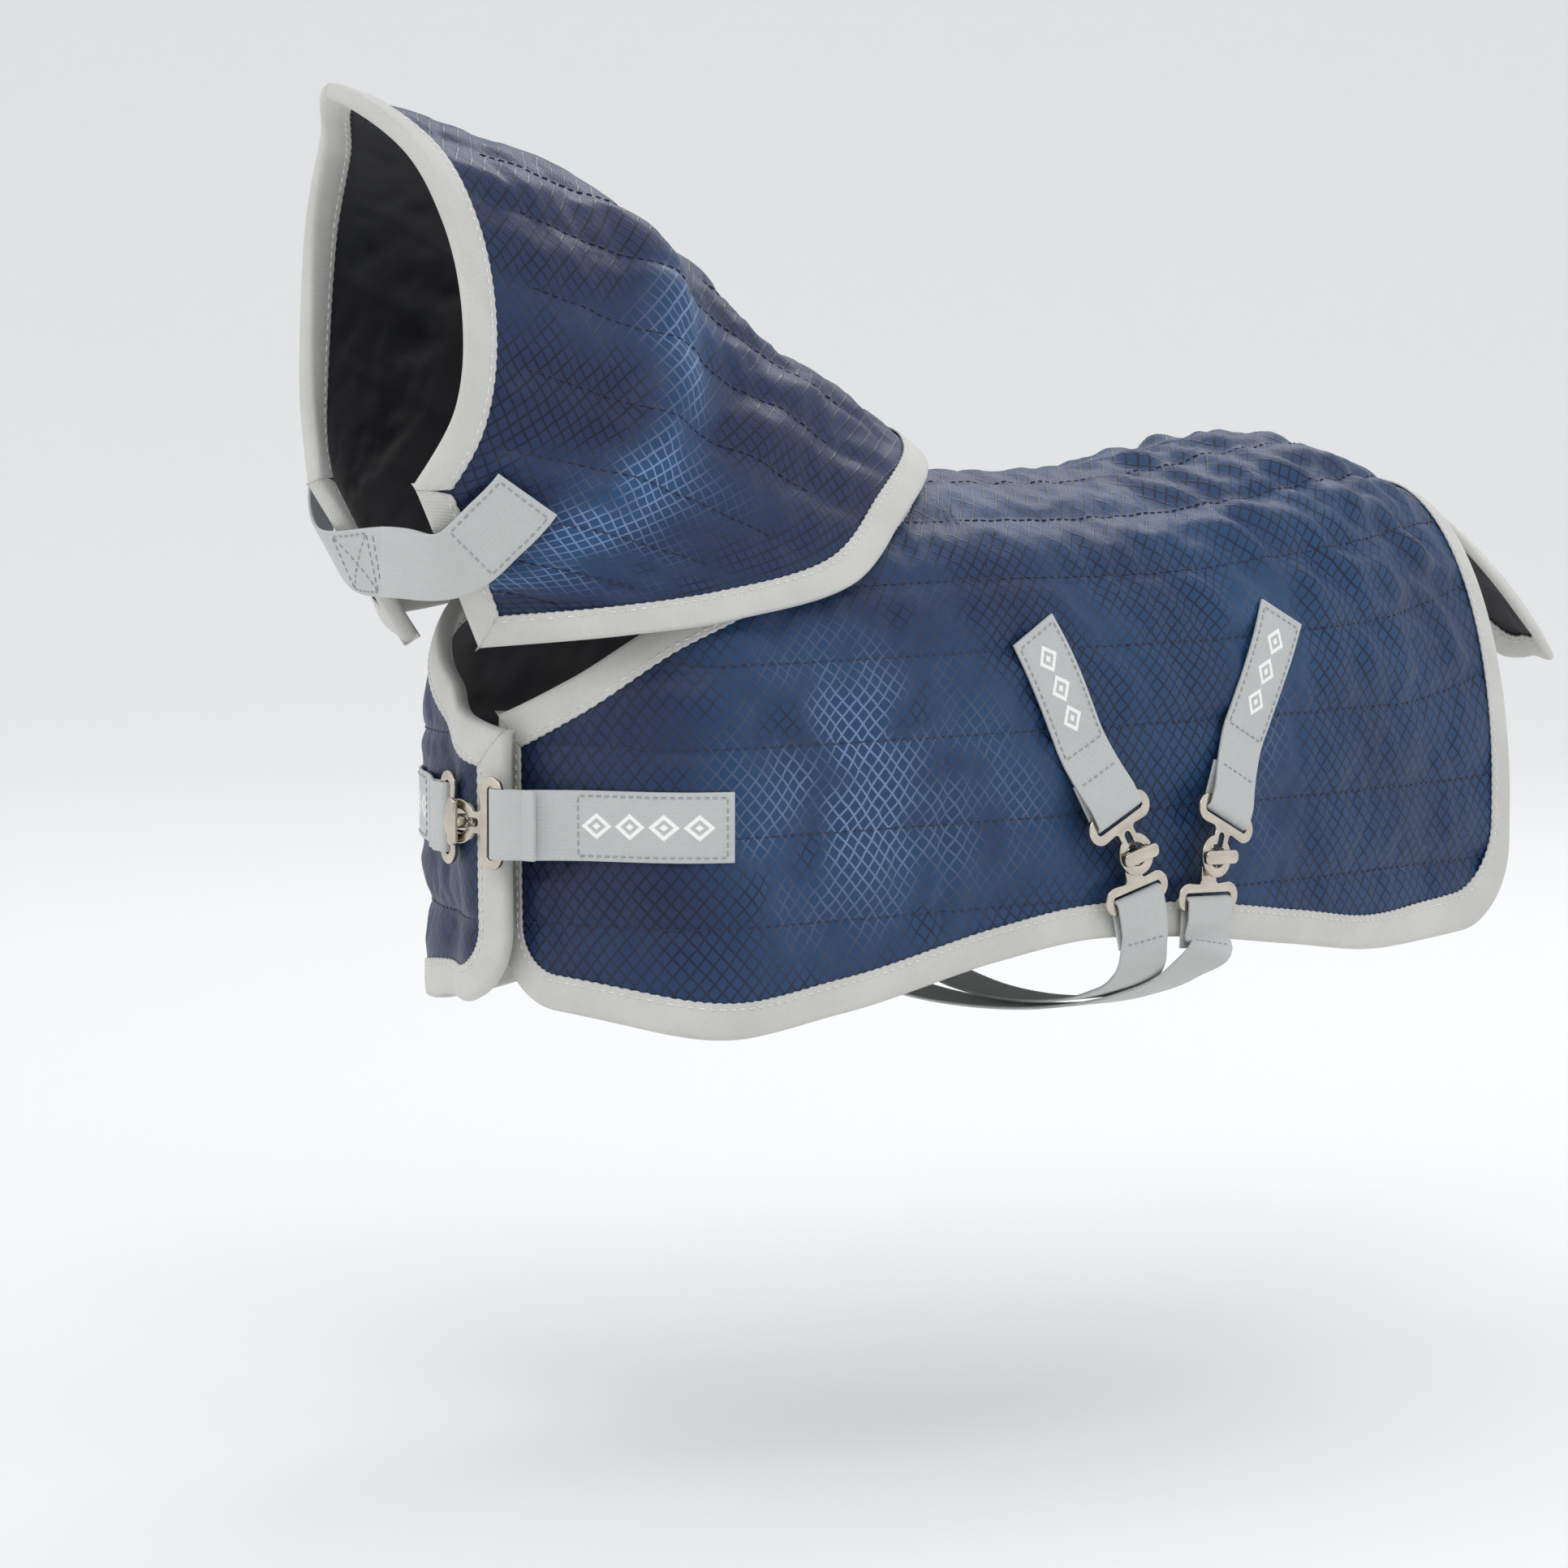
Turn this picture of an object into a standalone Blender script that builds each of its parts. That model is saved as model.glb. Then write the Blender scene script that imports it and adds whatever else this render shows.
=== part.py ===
"""Turnout rug and neck cover for a toy pony.

The rug is two quilted side panels joined along the spine, edged with binding, closed by a chest strap and
two crossed surcingles, with a tail flap behind. The neck cover is two quilted halves joined along the crest.
The pony itself is not modelled. Sizes are in millimetres and become metres when a mesh is made.
x runs to the rear, y to the off side, z up, and the origin is on the pony's back under the spine tape.
"""

import math

import bmesh
import bpy
import numpy as np
from mathutils import Matrix, Vector

MM = 0.001

# Cloth layers
SHELL_THICK = 0.6
FILL_THICK = 2.2
LINING_THICK = 0.5
TAPE_THICK = 0.6
PLY_GAP = 0.3
STACK = SHELL_THICK + PLY_GAP + FILL_THICK + PLY_GAP + LINING_THICK

# Binding
BINDING_WIDTH = 10.0
BINDING_THICK = 0.8
BINDING_GAP = 1.0
BINDING_PROUD = BINDING_GAP + BINDING_THICK

# Rug
RUG_LENGTH = 398.0
RUG_X0 = 200.0
BARREL_HALF_WIDTH = 80.0
REAR_HALF_WIDTH = 55.0
NOSE_LENGTH = 48.0
NOSE_ROUNDNESS = 2.1
RUG_DROP = 148.0
NECK_OPENING = 146.0
FRONT_CORNER = 24.0
REAR_CORNER = 26.0
WALL_TUCK = 4.0
FLANK_BULGE = 6.0
CHEST_OVERLAP = 16.0
NEAR_FRONT_EDGE = 5.0
LAP_GAP = 1.0
RUG_SLACK = 1.5
LAP = STACK + RUG_SLACK + 2 * BINDING_PROUD + LAP_GAP
LAP_RUNOUT = 30.0
SEAM_GAP = 0.4
SPINE_TAPE_WIDTH = 12.0
SPINE_TAPE_DROP = 0.9
CREST_TAPE_DROP = 1.4

# Neck cover
COVER_BEHIND_NECKLINE = 18.0
COVER_CLEARANCE = 2.2
COVER_SLACK = 0.6
COVER_LIFT = STACK + COVER_SLACK + 2 * BINDING_PROUD + COVER_CLEARANCE
POLL = (-259.0, 129.0)
CREST_RISE = 17.0
FACE_HALF_WIDTH = 45.0

# Webbing and hardware
CHEST_WEB = 22.0
BELLY_WEB = 20.0
WEB_THICK = 1.1
WEB_LIFT = 0.4
PLATE_THICK = 1.5
PLATE_BAR = 3.4
SLOT_WIDTH = 2.8
SLOT_PLAY = 1.2
SLOT_END_WALL = 3.2
SLOT_CENTRE = 13.6
RING_RADIUS = 7.0
EYE_RADIUS = 3.8
NECK_HALF = 3.4
STEM_RADIUS = 2.3
T_BAR = (15.0, 4.6, 1.9)
UNDER_GAP = 1.6
OVER_GAP = 0.9
LOOP_GAP = 0.4
PATCH_THICK = 0.9
OVER_EDGE = 3.8
TAB_FOLD = 1.0

# Tail flap
FLAP_LENGTH = 88.0
FLAP_HALF_WIDTH = 30.0
FLAP_BINDING_WIDTH = 8.0

# Colours: linear red, green, blue, then roughness and metallic
NAVY = ((0.011, 0.026, 0.085), 0.42, 0.0)
LINING_BLACK = ((0.008, 0.009, 0.013), 0.7, 0.0)
FILL_WHITE = ((0.75, 0.75, 0.73), 0.95, 0.0)
BINDING_GREY = ((0.62, 0.63, 0.59), 0.75, 0.0)
WEB_GREY = ((0.60, 0.61, 0.58), 0.8, 0.0)
NICKEL = ((0.74, 0.70, 0.62), 0.22, 1.0)
LOOP_GREY = ((0.3, 0.3, 0.3), 0.95, 0.0)


# ---------------------------------------------------------------- small helpers
def unit(vector):
    return vector / np.linalg.norm(vector)


def spline(stations, at):
    """A smooth curve through (position, value...) stations, straight beyond its ends."""
    table = np.array(stations, dtype=float)
    where, values = table[:, 0], table[:, 1:]
    slope = np.gradient(values, where, axis=0)
    last = len(where) - 1
    if at <= where[0]:
        result = values[0] + slope[0] * (at - where[0])
    elif at >= where[last]:
        result = values[last] + slope[last] * (at - where[last])
    else:
        k = int(np.searchsorted(where, at, side="right")) - 1
        span = where[k + 1] - where[k]
        s = (at - where[k]) / span
        result = (
            (1 + 2 * s) * (1 - s) ** 2 * values[k]
            + s * (1 - s) ** 2 * span * slope[k]
            + s * s * (3 - 2 * s) * values[k + 1]
            + s * s * (s - 1) * span * slope[k + 1]
        )
    return result if len(result) > 1 else float(result[0])


def ease(share):
    share = min(1.0, max(0.0, share))
    return share * share * (3 - 2 * share)


def face_outward(body):
    """Turns a closed mesh's faces outward."""
    bmesh.ops.recalc_face_normals(body, faces=body.faces)
    if body.calc_volume(signed=True) < 0:
        bmesh.ops.reverse_faces(body, faces=body.faces)


def normal_of(surface, p, q, step=1.5):
    """Outward normal of surface(p, q) for surfaces whose p runs rearward and q runs upward on the off side."""
    along = surface(p + step, q) - surface(p - step, q)
    up = surface(p, q + step) - surface(p, q - step)
    return unit(np.cross(up, along))


# ---------------------------------------------------------------- rug surface, off side
def spine_height(x):
    """Height of the shell on the spine, by share of the rug's length from the chest."""
    stack = STACK + PLY_GAP + SPINE_TAPE_DROP + TAPE_THICK
    rise = [
        (0.0, -14.0), (0.15, -5.5), (0.27, -1.0), (0.37, 2.0), (0.50, 0.0), (0.60, 0.8),
        (0.69, 6.5), (0.78, 11.2), (0.84, 9.3), (0.90, 3.2), (0.96, -5.0), (1.0, -11.5),
    ]
    return stack + spline(rise, x / RUG_LENGTH)


def half_width(x):
    barrel, rear = BARREL_HALF_WIDTH, REAR_HALF_WIDTH
    between = barrel - rear
    widths = [
        (0.12, barrel - 2), (0.33, barrel), (0.60, barrel - 1.5),
        (0.80, rear + 0.60 * between), (0.90, rear + 0.28 * between), (1.0, rear),
    ]
    return spline(widths, x / RUG_LENGTH)


def crown_height(x):
    """How far below the spine the rug reaches its widest line."""
    return BARREL_HALF_WIDTH * spline([(0.0, 0.9), (0.62, 0.9), (0.8, 1.06), (1.0, 1.35)], x / RUG_LENGTH)


def hem_height(x):
    shape = [
        (0.0, -8.0), (0.06, -15.0), (0.20, -11.0), (0.36, 1.0), (0.457, 5.5), (0.55, 4.0),
        (0.70, -3.0), (0.80, -8.0), (0.90, -7.0), (1.0, -4.0),
    ]
    return -RUG_DROP + spline(shape, x / RUG_LENGTH)


def plan_table():
    """Plan outline at the widest line, from the chest centre to past the rear edge, by distance round it."""
    turn = np.linspace(0, math.pi / 2, 400)
    power = 2 / NOSE_ROUNDNESS
    shoulder = half_width(NOSE_LENGTH)
    nose_x = NOSE_LENGTH * (1 - np.cos(turn) ** power)
    nose_y = shoulder * np.sin(turn) ** power
    side_x = np.arange(NOSE_LENGTH + 1, RUG_LENGTH + 20, 1.0)
    side_y = np.array([half_width(x) for x in side_x])
    x = np.concatenate([nose_x, side_x])
    y = np.concatenate([nose_y, side_y])
    run = np.concatenate([[0], np.cumsum(np.hypot(np.diff(x), np.diff(y)))])
    return run, x, y


PLAN_RUN, PLAN_X, PLAN_Y = plan_table()


def run_at(x):
    """Distance round the plan at which the outline passes x, measured from the chest centre."""
    return float(np.interp(x, PLAN_X, PLAN_RUN))


def plan(run):
    x = float(np.interp(abs(run), PLAN_RUN, PLAN_X))
    y = float(np.interp(abs(run), PLAN_RUN, PLAN_Y))
    return np.array([x, math.copysign(y, run)])


def crown_arc(run):
    """Length of cloth from the widest line up to the spine."""
    x = plan(run)[0]
    reach = math.hypot(max(x, NOSE_LENGTH) - x, plan(run)[1])
    return 0.8 * (reach + crown_height(x))


def widest(run):
    x = plan(run)[0]
    return spine_height(x) - crown_height(x)


def rug_base(run, rise):
    """Point of the rug's outer surface: run round the plan, rise up the cloth from the widest line."""
    foot = plan(run)
    hub = np.array([max(foot[0], NOSE_LENGTH), 0.0])
    inward = hub - foot
    x = foot[0]
    bulge = FLANK_BULGE * spline([(0.0, 0.6), (0.5, 1.0), (0.8, 0.5), (1.0, 0.0)], x / RUG_LENGTH)
    if rise <= 0:
        flat = foot + unit(inward) * WALL_TUCK * (rise / RUG_DROP) ** 2
        height = widest(run) + rise
    else:
        turn = min(rise / crown_arc(run), 1.05) * math.pi / 2
        flat = foot + inward * (1 - math.cos(turn)) - unit(inward) * bulge * math.sin(2 * turn) ** 2
        height = widest(run) + crown_height(x) * math.sin(turn)
    return np.array([flat[0] - RUG_X0, flat[1], height])


def lap(run, side):
    """The off panel's chest end lies over the near panel."""
    if side < 0:
        return 0.0
    start = 2.0 - NEAR_FRONT_EDGE
    return LAP * ease((LAP_RUNOUT - run) / (LAP_RUNOUT - start))


def rug_point(run, rise, out=0.0, side=1):
    """A point out from the rug's outer surface; side 1 is the off side, -1 the near side."""
    point = rug_base(run, rise)
    normal = normal_of(rug_base, run, rise)
    point = point + normal * (out + lap(run, side))
    return np.array([point[0], side * point[1], point[2]])


def rug_normal(run, rise, side=1):
    normal = normal_of(rug_base, run, rise)
    return np.array([normal[0], side * normal[1], normal[2]])


# ---------------------------------------------------------------- panel outlines in cloth coordinates
REAR_RUN = run_at(RUG_LENGTH)
WITHERS_RUN = run_at(NECK_OPENING)
SHOULDER_RUN = run_at(NOSE_LENGTH)


def neckline(run):
    """Height of the neckline above the widest line; it reaches the spine at the withers."""
    arc = crown_arc(run)
    if run >= WITHERS_RUN:
        return arc
    if run <= SHOULDER_RUN:
        return arc * spline([(-0.2, 0.06), (0.0, 0.10), (0.35, 0.22), (0.7, 0.38), (1.0, 0.45)], run / SHOULDER_RUN)
    share = (run - SHOULDER_RUN) / (WITHERS_RUN - SHOULDER_RUN)
    return arc * (0.45 + 0.10 * share + 0.45 * (1 - math.sqrt(1 - share * share)))


def hem(run):
    return hem_height(plan(run)[0]) - widest(run)


def panel_columns(front, rear):
    """Runs of the panel's columns with the height each corner lifts the hem."""
    columns = []
    for step in range(4):
        angle = step * math.pi / 6
        columns.append((front + FRONT_CORNER * (1 - math.cos(angle)), FRONT_CORNER * (1 - math.sin(angle))))
    start, end = front + FRONT_CORNER, rear - REAR_CORNER
    middle = [SHOULDER_RUN * share for share in (0.42, 0.58, 0.72, 0.84, 0.94, 1.04, 1.2)]
    neck_span = WITHERS_RUN - SHOULDER_RUN
    middle += [SHOULDER_RUN + neck_span * share for share in (0.44, 0.66, 0.82, 0.94, 1.0)]
    back_count = 7
    middle += [WITHERS_RUN + (end - WITHERS_RUN) * k / back_count for k in range(1, back_count)]
    columns += [(run, 0.0) for run in middle if start + 4 < run < end - 4]
    for step in range(3, -1, -1):
        angle = step * math.pi / 6
        columns.append((rear - REAR_CORNER * (1 - math.cos(angle)), REAR_CORNER * (1 - math.sin(angle))))
    return columns


PANEL_ROWS = 7


def banded(length, count, band=BINDING_WIDTH):
    """Shares of a length at count + 1 lines, of which the first and last spans are the binding's width."""
    edge = min(band / length, 0.9 / count)
    inner = [edge + (1 - 2 * edge) * k / (count - 2) for k in range(count - 1)]
    return [0.0] + inner + [1.0]


def rug_outline(side):
    """Columns, hem and top of one side panel in cloth coordinates."""
    front = NEAR_FRONT_EDGE if side < 0 else -CHEST_OVERLAP
    columns = panel_columns(front, REAR_RUN)
    runs = [run for run, _ in columns]
    bottom = [hem(run) + lift for run, lift in columns]
    top = [neckline(run) for run in runs]
    return runs, bottom, top


# ---------------------------------------------------------------- neck cover surface, off side
def on_rug(x, y, out):
    """Point out from the rug's shell where its half-section at x has the half-width y."""
    run = run_at(x + RUG_X0)
    arc = crown_arc(run)
    rises = np.linspace(0, arc, 60)
    widths = np.array([rug_base(run, rise)[1] for rise in rises])
    rise = float(np.interp(-y, -widths, rises))
    return rug_point(run, rise, out)


def face_edge():
    poll_x, poll_z = POLL
    wide = FACE_HALF_WIDTH
    return [
        (0.0, poll_x, 0.0, poll_z), (0.18, -247.0, 0.50 * wide, 114.0), (0.38, -242.0, 0.85 * wide, 90.0),
        (0.60, -240.0, wide, 58.0), (0.80, -242.0, 0.95 * wide, 31.0), (1.0, -248.0, 0.66 * wide, 6.0),
    ]


def cover_foot():
    """Bottom edge of the neck cover: over the rug at the withers and shoulder, free across the throat."""
    lift = COVER_LIFT
    back = NECK_OPENING + COVER_BEHIND_NECKLINE - RUG_X0
    wide = BARREL_HALF_WIDTH
    seats = [(0.0, back, 0.0), (0.2, back - 17, 0.46 * wide), (0.4, back - 48, 0.74 * wide)]
    seats += [(0.56, back - 80, 0.88 * wide)]
    edge = [(share, *on_rug(x, y, lift)) for share, x, y in seats]
    edge += [
        (0.72, -160.0, 0.96 * wide, -33.0), (0.86, -196.0, 0.80 * wide, -38.0), (1.0, -219.0, 0.26 * wide, -43.0),
    ]
    return edge


FACE_EDGE = face_edge()
COVER_FOOT = cover_foot()


def mirrored_start(stations):
    """Adds the mirror image of the second station, so that the curve crosses the centre plane squarely."""
    share, x, y, z = stations[1]
    return [(-share, x, -y, z)] + stations


def cover_base(down, round_):
    """Point of the cover's outer surface; down 0 at the face to 100 at the foot, round_ 0 front to 100 crest."""
    s = down / 100
    t = 1 - round_ / 100
    face = spline(mirrored_start(FACE_EDGE), t)
    foot = spline(mirrored_start(COVER_FOOT), t)
    rise = CREST_RISE * math.sin(math.pi * min(max(s, 0.0), 1.0)) * math.cos(math.pi * t / 2) ** 2
    point = face * (1 - s) + foot * s
    return np.array([point[0], point[1], point[2] + rise])


def cover_point(down, round_, out=0.0, side=1):
    point = cover_base(down, round_) + normal_of(cover_base, down, round_) * out
    return np.array([point[0], side * point[1], point[2]])


def cover_normal(down, round_, side=1):
    normal = normal_of(cover_base, down, round_)
    return np.array([normal[0], side * normal[1], normal[2]])


COVER_COLUMNS = 7
COVER_ROWS = 10


def cover_length(start, end, steps=12):
    """Length of the cover's surface between two (down, round_) places."""
    spots = [np.array(start) + (np.array(end) - np.array(start)) * k / steps for k in range(steps + 1)]
    points = [cover_base(*spot) for spot in spots]
    return sum(float(np.linalg.norm(b - a)) for a, b in zip(points, points[1:]))


def cover_grid():
    """The cover's grid lines, with the outer spans as wide as the binding."""
    downs, rounds = [], []
    for row in range(COVER_ROWS + 1):
        round_ = 100 * row / COVER_ROWS
        length = cover_length((0, round_), (100, round_))
        downs.append([100 * share for share in banded(length, COVER_COLUMNS)])
    for column in range(COVER_COLUMNS + 1):
        down = 100 * column / COVER_COLUMNS
        length = cover_length((down, 0), (down, 100))
        rounds.append([100 * share for share in banded(length, COVER_ROWS)])
    return downs, rounds


# ---------------------------------------------------------------- mesh makers
def make_material(name, look):
    colour, roughness, metallic = look
    material = bpy.data.materials.get(name) or bpy.data.materials.new(name)
    material.use_nodes = True
    shader = material.node_tree.nodes["Principled BSDF"]
    shader.inputs["Base Color"].default_value = (*colour, 1.0)
    shader.inputs["Roughness"].default_value = roughness
    shader.inputs["Metallic"].default_value = metallic
    return material


def link_object(name, mesh, look_name, look):
    item = bpy.data.objects.new(name, mesh)
    item.data.materials.append(make_material(look_name, look))
    PARTS.objects.link(item)
    return item


def layer(name, place, columns, rows, thickness, look_name, look, seam=None):
    """One cloth layer: a grid laid on place(column, row, depth), extruded to its inner face.

    seam(column, row) gives the y of the centre-plane seam, where the cloth ends on it.
    """
    mesh = bpy.data.meshes.new(name)
    grid = bmesh.new()
    bmesh.ops.create_grid(grid, x_segments=columns, y_segments=rows, size=1.0)
    copied = bmesh.ops.extrude_face_region(grid, geom=grid.faces[:], use_keep_orig=True)["geom"]
    inner = {item for item in copied if isinstance(item, bmesh.types.BMVert)}
    for vert in grid.verts:
        column = round((vert.co.x + 1) / 2 * columns)
        row = round((vert.co.y + 1) / 2 * rows)
        point = place(column, row, thickness if vert in inner else 0.0)
        if seam and seam(column, row):
            point[1] = seam(column, row)
        vert.co = point * MM
    face_outward(grid)
    grid.to_mesh(mesh)
    grid.free()
    return link_object(name, mesh, look_name, look)


def loft(name, rings, look_name, look, closed=False):
    """A closed solid through rings of points; the ends are capped unless the loft closes on itself."""
    mesh = bpy.data.meshes.new(name)
    body = bmesh.new()
    loops = [[body.verts.new(tuple(point * MM)) for point in ring] for ring in rings]
    pairs = list(zip(loops, loops[1:]))
    if closed:
        pairs.append((loops[-1], loops[0]))
    count = len(loops[0])
    for first, second in pairs:
        for k in range(count):
            n = (k + 1) % count
            body.faces.new((first[k], first[n], second[n], second[k]))
    if not closed:
        body.faces.new(loops[0])
        body.faces.new(loops[-1][::-1])
    face_outward(body)
    body.to_mesh(mesh)
    body.free()
    return link_object(name, mesh, look_name, look)


def edge_normals(path, first=None, last=None):
    """Inward mitre vector at each point of a path that keeps the cloth on its left."""
    directions = [unit(b - a) for a, b in zip(path, path[1:])]
    lefts = [np.array([-d[1], d[0]]) for d in directions]
    result = []
    for k in range(len(path)):
        before = lefts[max(k - 1, 0)]
        after = lefts[min(k, len(lefts) - 1)]
        middle = unit(before + after)
        result.append(middle / max(0.35, float(middle @ before)))
    if first is not None:
        result[0] = np.array(first)
    if last is not None:
        result[-1] = np.array(last)
    return result


def facet_place(runs, heights, place):
    """A function for points on the flat facets between the grid's lines, and straight on beyond its edges."""
    def at(run, rise, out):
        i = min(max(int(np.searchsorted(runs, run, side="right")) - 1, 0), len(runs) - 2)
        s = (run - runs[i]) / (runs[i + 1] - runs[i])
        low, high = heights[i], heights[i + 1]
        level = [a + (b - a) * s for a, b in zip(low, high)]
        j = min(max(int(np.searchsorted(level, rise, side="right")) - 1, 0), len(level) - 2)
        t = (rise - level[j]) / (level[j + 1] - level[j])
        return (
            place(runs[i], low[j], out) * (1 - s) * (1 - t)
            + place(runs[i + 1], high[j], out) * s * (1 - t)
            + place(runs[i], low[j + 1], out) * (1 - s) * t
            + place(runs[i + 1], high[j + 1], out) * s * t
        )
    return at


def binding_profile(stack, width=BINDING_WIDTH):
    """Section of a tape folded over an edge, as (reach in from the edge, height out from the shell)."""
    gap, thick = BINDING_GAP, BINDING_THICK
    inner = -stack - gap
    return [
        (width, gap + thick), (-gap - thick, gap + thick), (-gap - thick, inner - thick), (width, inner - thick),
        (width, inner), (width / 2, inner), (-gap, inner), (-gap, gap), (width / 2, gap), (width, gap),
    ]


def halved(path, longest=7.0):
    """The path with each long step split in two."""
    result = [path[0]]
    for a, b in zip(path, path[1:]):
        if math.dist(a, b) > longest:
            result.append(((a[0] + b[0]) / 2, (a[1] + b[1]) / 2))
        result.append(b)
    return result


def binding(name, path, at, seam_y, first, last):
    """A tape folded over the cloth's edge, as one U-shaped strip along the path, ending at the seam."""
    path = [np.array(p, dtype=float) for p in path]
    rings = []
    for p, inward in zip(path, edge_normals(path, first, last)):
        rings.append([at(*(p + inward * reach), out) for reach, out in binding_profile(STACK + RUG_SLACK)])
    for ring in (rings[0], rings[-1]):
        for point in ring:
            point[1] = seam_y
    return loft(name, rings, "edge_binding", BINDING_GREY)


# ---------------------------------------------------------------- rug
def build_rug_side(side):
    tag = "near" if side < 0 else "off"
    runs, bottom, top = rug_outline(side)

    shares = [banded(high - low, PANEL_ROWS) for low, high in zip(bottom, top)]

    def height(column, row):
        return bottom[column] + (top[column] - bottom[column]) * shares[column][row]

    def placed(start):
        return lambda column, row, depth: rug_point(runs[column], height(column, row), -start - depth, side)

    def seam(column, row):
        return side * SEAM_GAP / 2 if row == PANEL_ROWS and column >= withers else 0.0

    withers = min(range(len(runs)), key=lambda k: abs(runs[k] - WITHERS_RUN))
    count = len(runs) - 1
    depth = 0.0
    for part, thick, look_name, look in (
        ("shell", SHELL_THICK, "ripstop_shell", NAVY),
        ("wadding", FILL_THICK, "polyester_wadding", FILL_WHITE),
        ("lining", LINING_THICK, "nylon_lining", LINING_BLACK),
    ):
        layer(f"rug_{part}_{tag}", placed(depth), count, PANEL_ROWS, thick, look_name, look, seam)
        depth += thick + PLY_GAP

    path = halved(halved([(runs[-1], height(count, k)) for k in range(PANEL_ROWS, -1, -1)]))
    path += [(runs[k], bottom[k]) for k in range(count - 1, -1, -1)]
    path += [(runs[0], height(0, k)) for k in range(1, PANEL_ROWS + 1)]
    path += halved(halved([(runs[k], top[k]) for k in range(withers + 1)]))[1:]
    path = path[::-1]
    heights = [[height(column, row) for row in range(PANEL_ROWS + 1)] for column in range(count + 1)]
    at = facet_place(runs, heights, lambda run, rise, out: rug_point(run, rise, out, side))
    binding(f"rug_binding_{tag}", path, at, side * SEAM_GAP / 2, first=(1.0, 0.0), last=(-1.0, 0.0))


def build_spine_tape():
    """Tape sewn under the lining along the join of the two side panels."""
    inset = BINDING_WIDTH + 4
    start, end = WITHERS_RUN + inset, REAR_RUN - inset
    below = -STACK - PLY_GAP - SPINE_TAPE_DROP
    rings = []
    for k in range(13):
        run = start + (end - start) * k / 12
        arc = crown_arc(run)
        low = arc - SPINE_TAPE_WIDTH / 2
        near_top, off_top = rug_point(run, low, below, -1), rug_point(run, low, below, 1)
        near_low = rug_point(run, low, below - TAPE_THICK, -1)
        off_low = rug_point(run, low, below - TAPE_THICK, 1)
        for point in (near_top, off_top, near_low, off_low):
            point[1] = math.copysign(SPINE_TAPE_WIDTH / 2, point[1])
        rings.append([near_top, off_top, off_low, near_low])
    loft("rug_spine_tape", rings, "nylon_lining", LINING_BLACK)


# ---------------------------------------------------------------- neck cover
def build_cover_side(side):
    tag = "near" if side < 0 else "off"

    downs, rounds = cover_grid()

    def placed(start):
        return lambda column, row, depth: cover_point(
            downs[row][column], rounds[column][row], -start - depth, side
        )

    def seam(column, row):
        return side * SEAM_GAP / 2 if row == COVER_ROWS else 0.0

    depth = 0.0
    for part, thick, look_name, look in (
        ("shell", SHELL_THICK, "ripstop_shell", NAVY),
        ("wadding", FILL_THICK, "polyester_wadding", FILL_WHITE),
        ("lining", LINING_THICK, "nylon_lining", LINING_BLACK),
    ):
        layer(f"neck_{part}_{tag}", placed(depth), COVER_COLUMNS, COVER_ROWS, thick, look_name, look, seam)
        depth += thick + PLY_GAP
    path = [(0, round_) for round_ in rounds[0][::-1]]
    path += [(down, 0) for down in downs[0][1:]]
    path += [(100, round_) for round_ in rounds[-1][1:]]
    cover_binding(f"neck_binding_{tag}", path, side)


def cover_binding(name, path, side):
    """The cover's coordinates are shares, so the binding's reach is turned into them where each point lies."""
    rings = []
    corners = {(0, 0): (1, 1), (100, 0): (-1, 1)}
    for down, round_ in path:
        if (down, round_) in corners:
            inward = corners[(down, round_)]
        elif down == 0:
            inward = (1, 0)
        elif down == 100:
            inward = (-1, 0)
        else:
            inward = (0, 1)
        down_mm = np.linalg.norm(cover_base(down + 1, round_) - cover_base(down - 1, round_)) / 2
        round_mm = np.linalg.norm(cover_base(down, round_ + 1) - cover_base(down, round_ - 1)) / 2
        ring = []
        for reach, out in binding_profile(STACK + COVER_SLACK):
            point = cover_point(down + inward[0] * reach / down_mm, round_ + inward[1] * reach / round_mm, out, side)
            if round_ == 100:
                point[1] = side * SEAM_GAP / 2
            ring.append(point)
        rings.append(ring)
    loft(name, rings, "edge_binding", BINDING_GREY)


def build_crest_tape():
    """Tape sewn under the lining along the join of the neck cover's halves."""
    below = -STACK - PLY_GAP
    rings = []
    for k in range(9):
        down = 8 + 84 * k / 8
        ring = []
        for side, out in ((-1, below), (1, below), (1, below - TAPE_THICK), (-1, below - TAPE_THICK)):
            point = cover_point(down, 100, out - CREST_TAPE_DROP, side)
            point[1] = side * SPINE_TAPE_WIDTH / 2
            ring.append(point)
        rings.append(ring)
    loft("neck_crest_tape", rings, "nylon_lining", LINING_BLACK)


# ---------------------------------------------------------------- webbing
def strap_rings(centres, normals, width, thick=WEB_THICK):
    """Rectangular sections across a strap's centre line."""
    rings = []
    last = len(centres) - 1
    for k, (centre, normal) in enumerate(zip(centres, normals)):
        tangent = unit(centres[min(k + 1, last)] - centres[max(k - 1, 0)])
        across = unit(np.cross(normal, tangent))
        face = unit(np.cross(tangent, across))
        a, b = across * width / 2, face * thick / 2
        rings.append([centre - a - b, centre + a - b, centre + a + b, centre - a + b])
    return rings


def run_through(stations, count):
    """Smooth centre line and face normals through (point, normal) stations."""
    points = [point for point, _ in stations]
    length = [0.0]
    for a, b in zip(points, points[1:]):
        length.append(length[-1] + float(np.linalg.norm(b - a)))
    curve = [(d, *p) for d, p in zip(length, points)]
    facing = [(d, *n) for d, (_, n) in zip(length, stations)]
    where = np.linspace(0, length[-1], count)
    return [spline(curve, w) for w in where], [unit(spline(facing, w)) for w in where]


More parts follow.
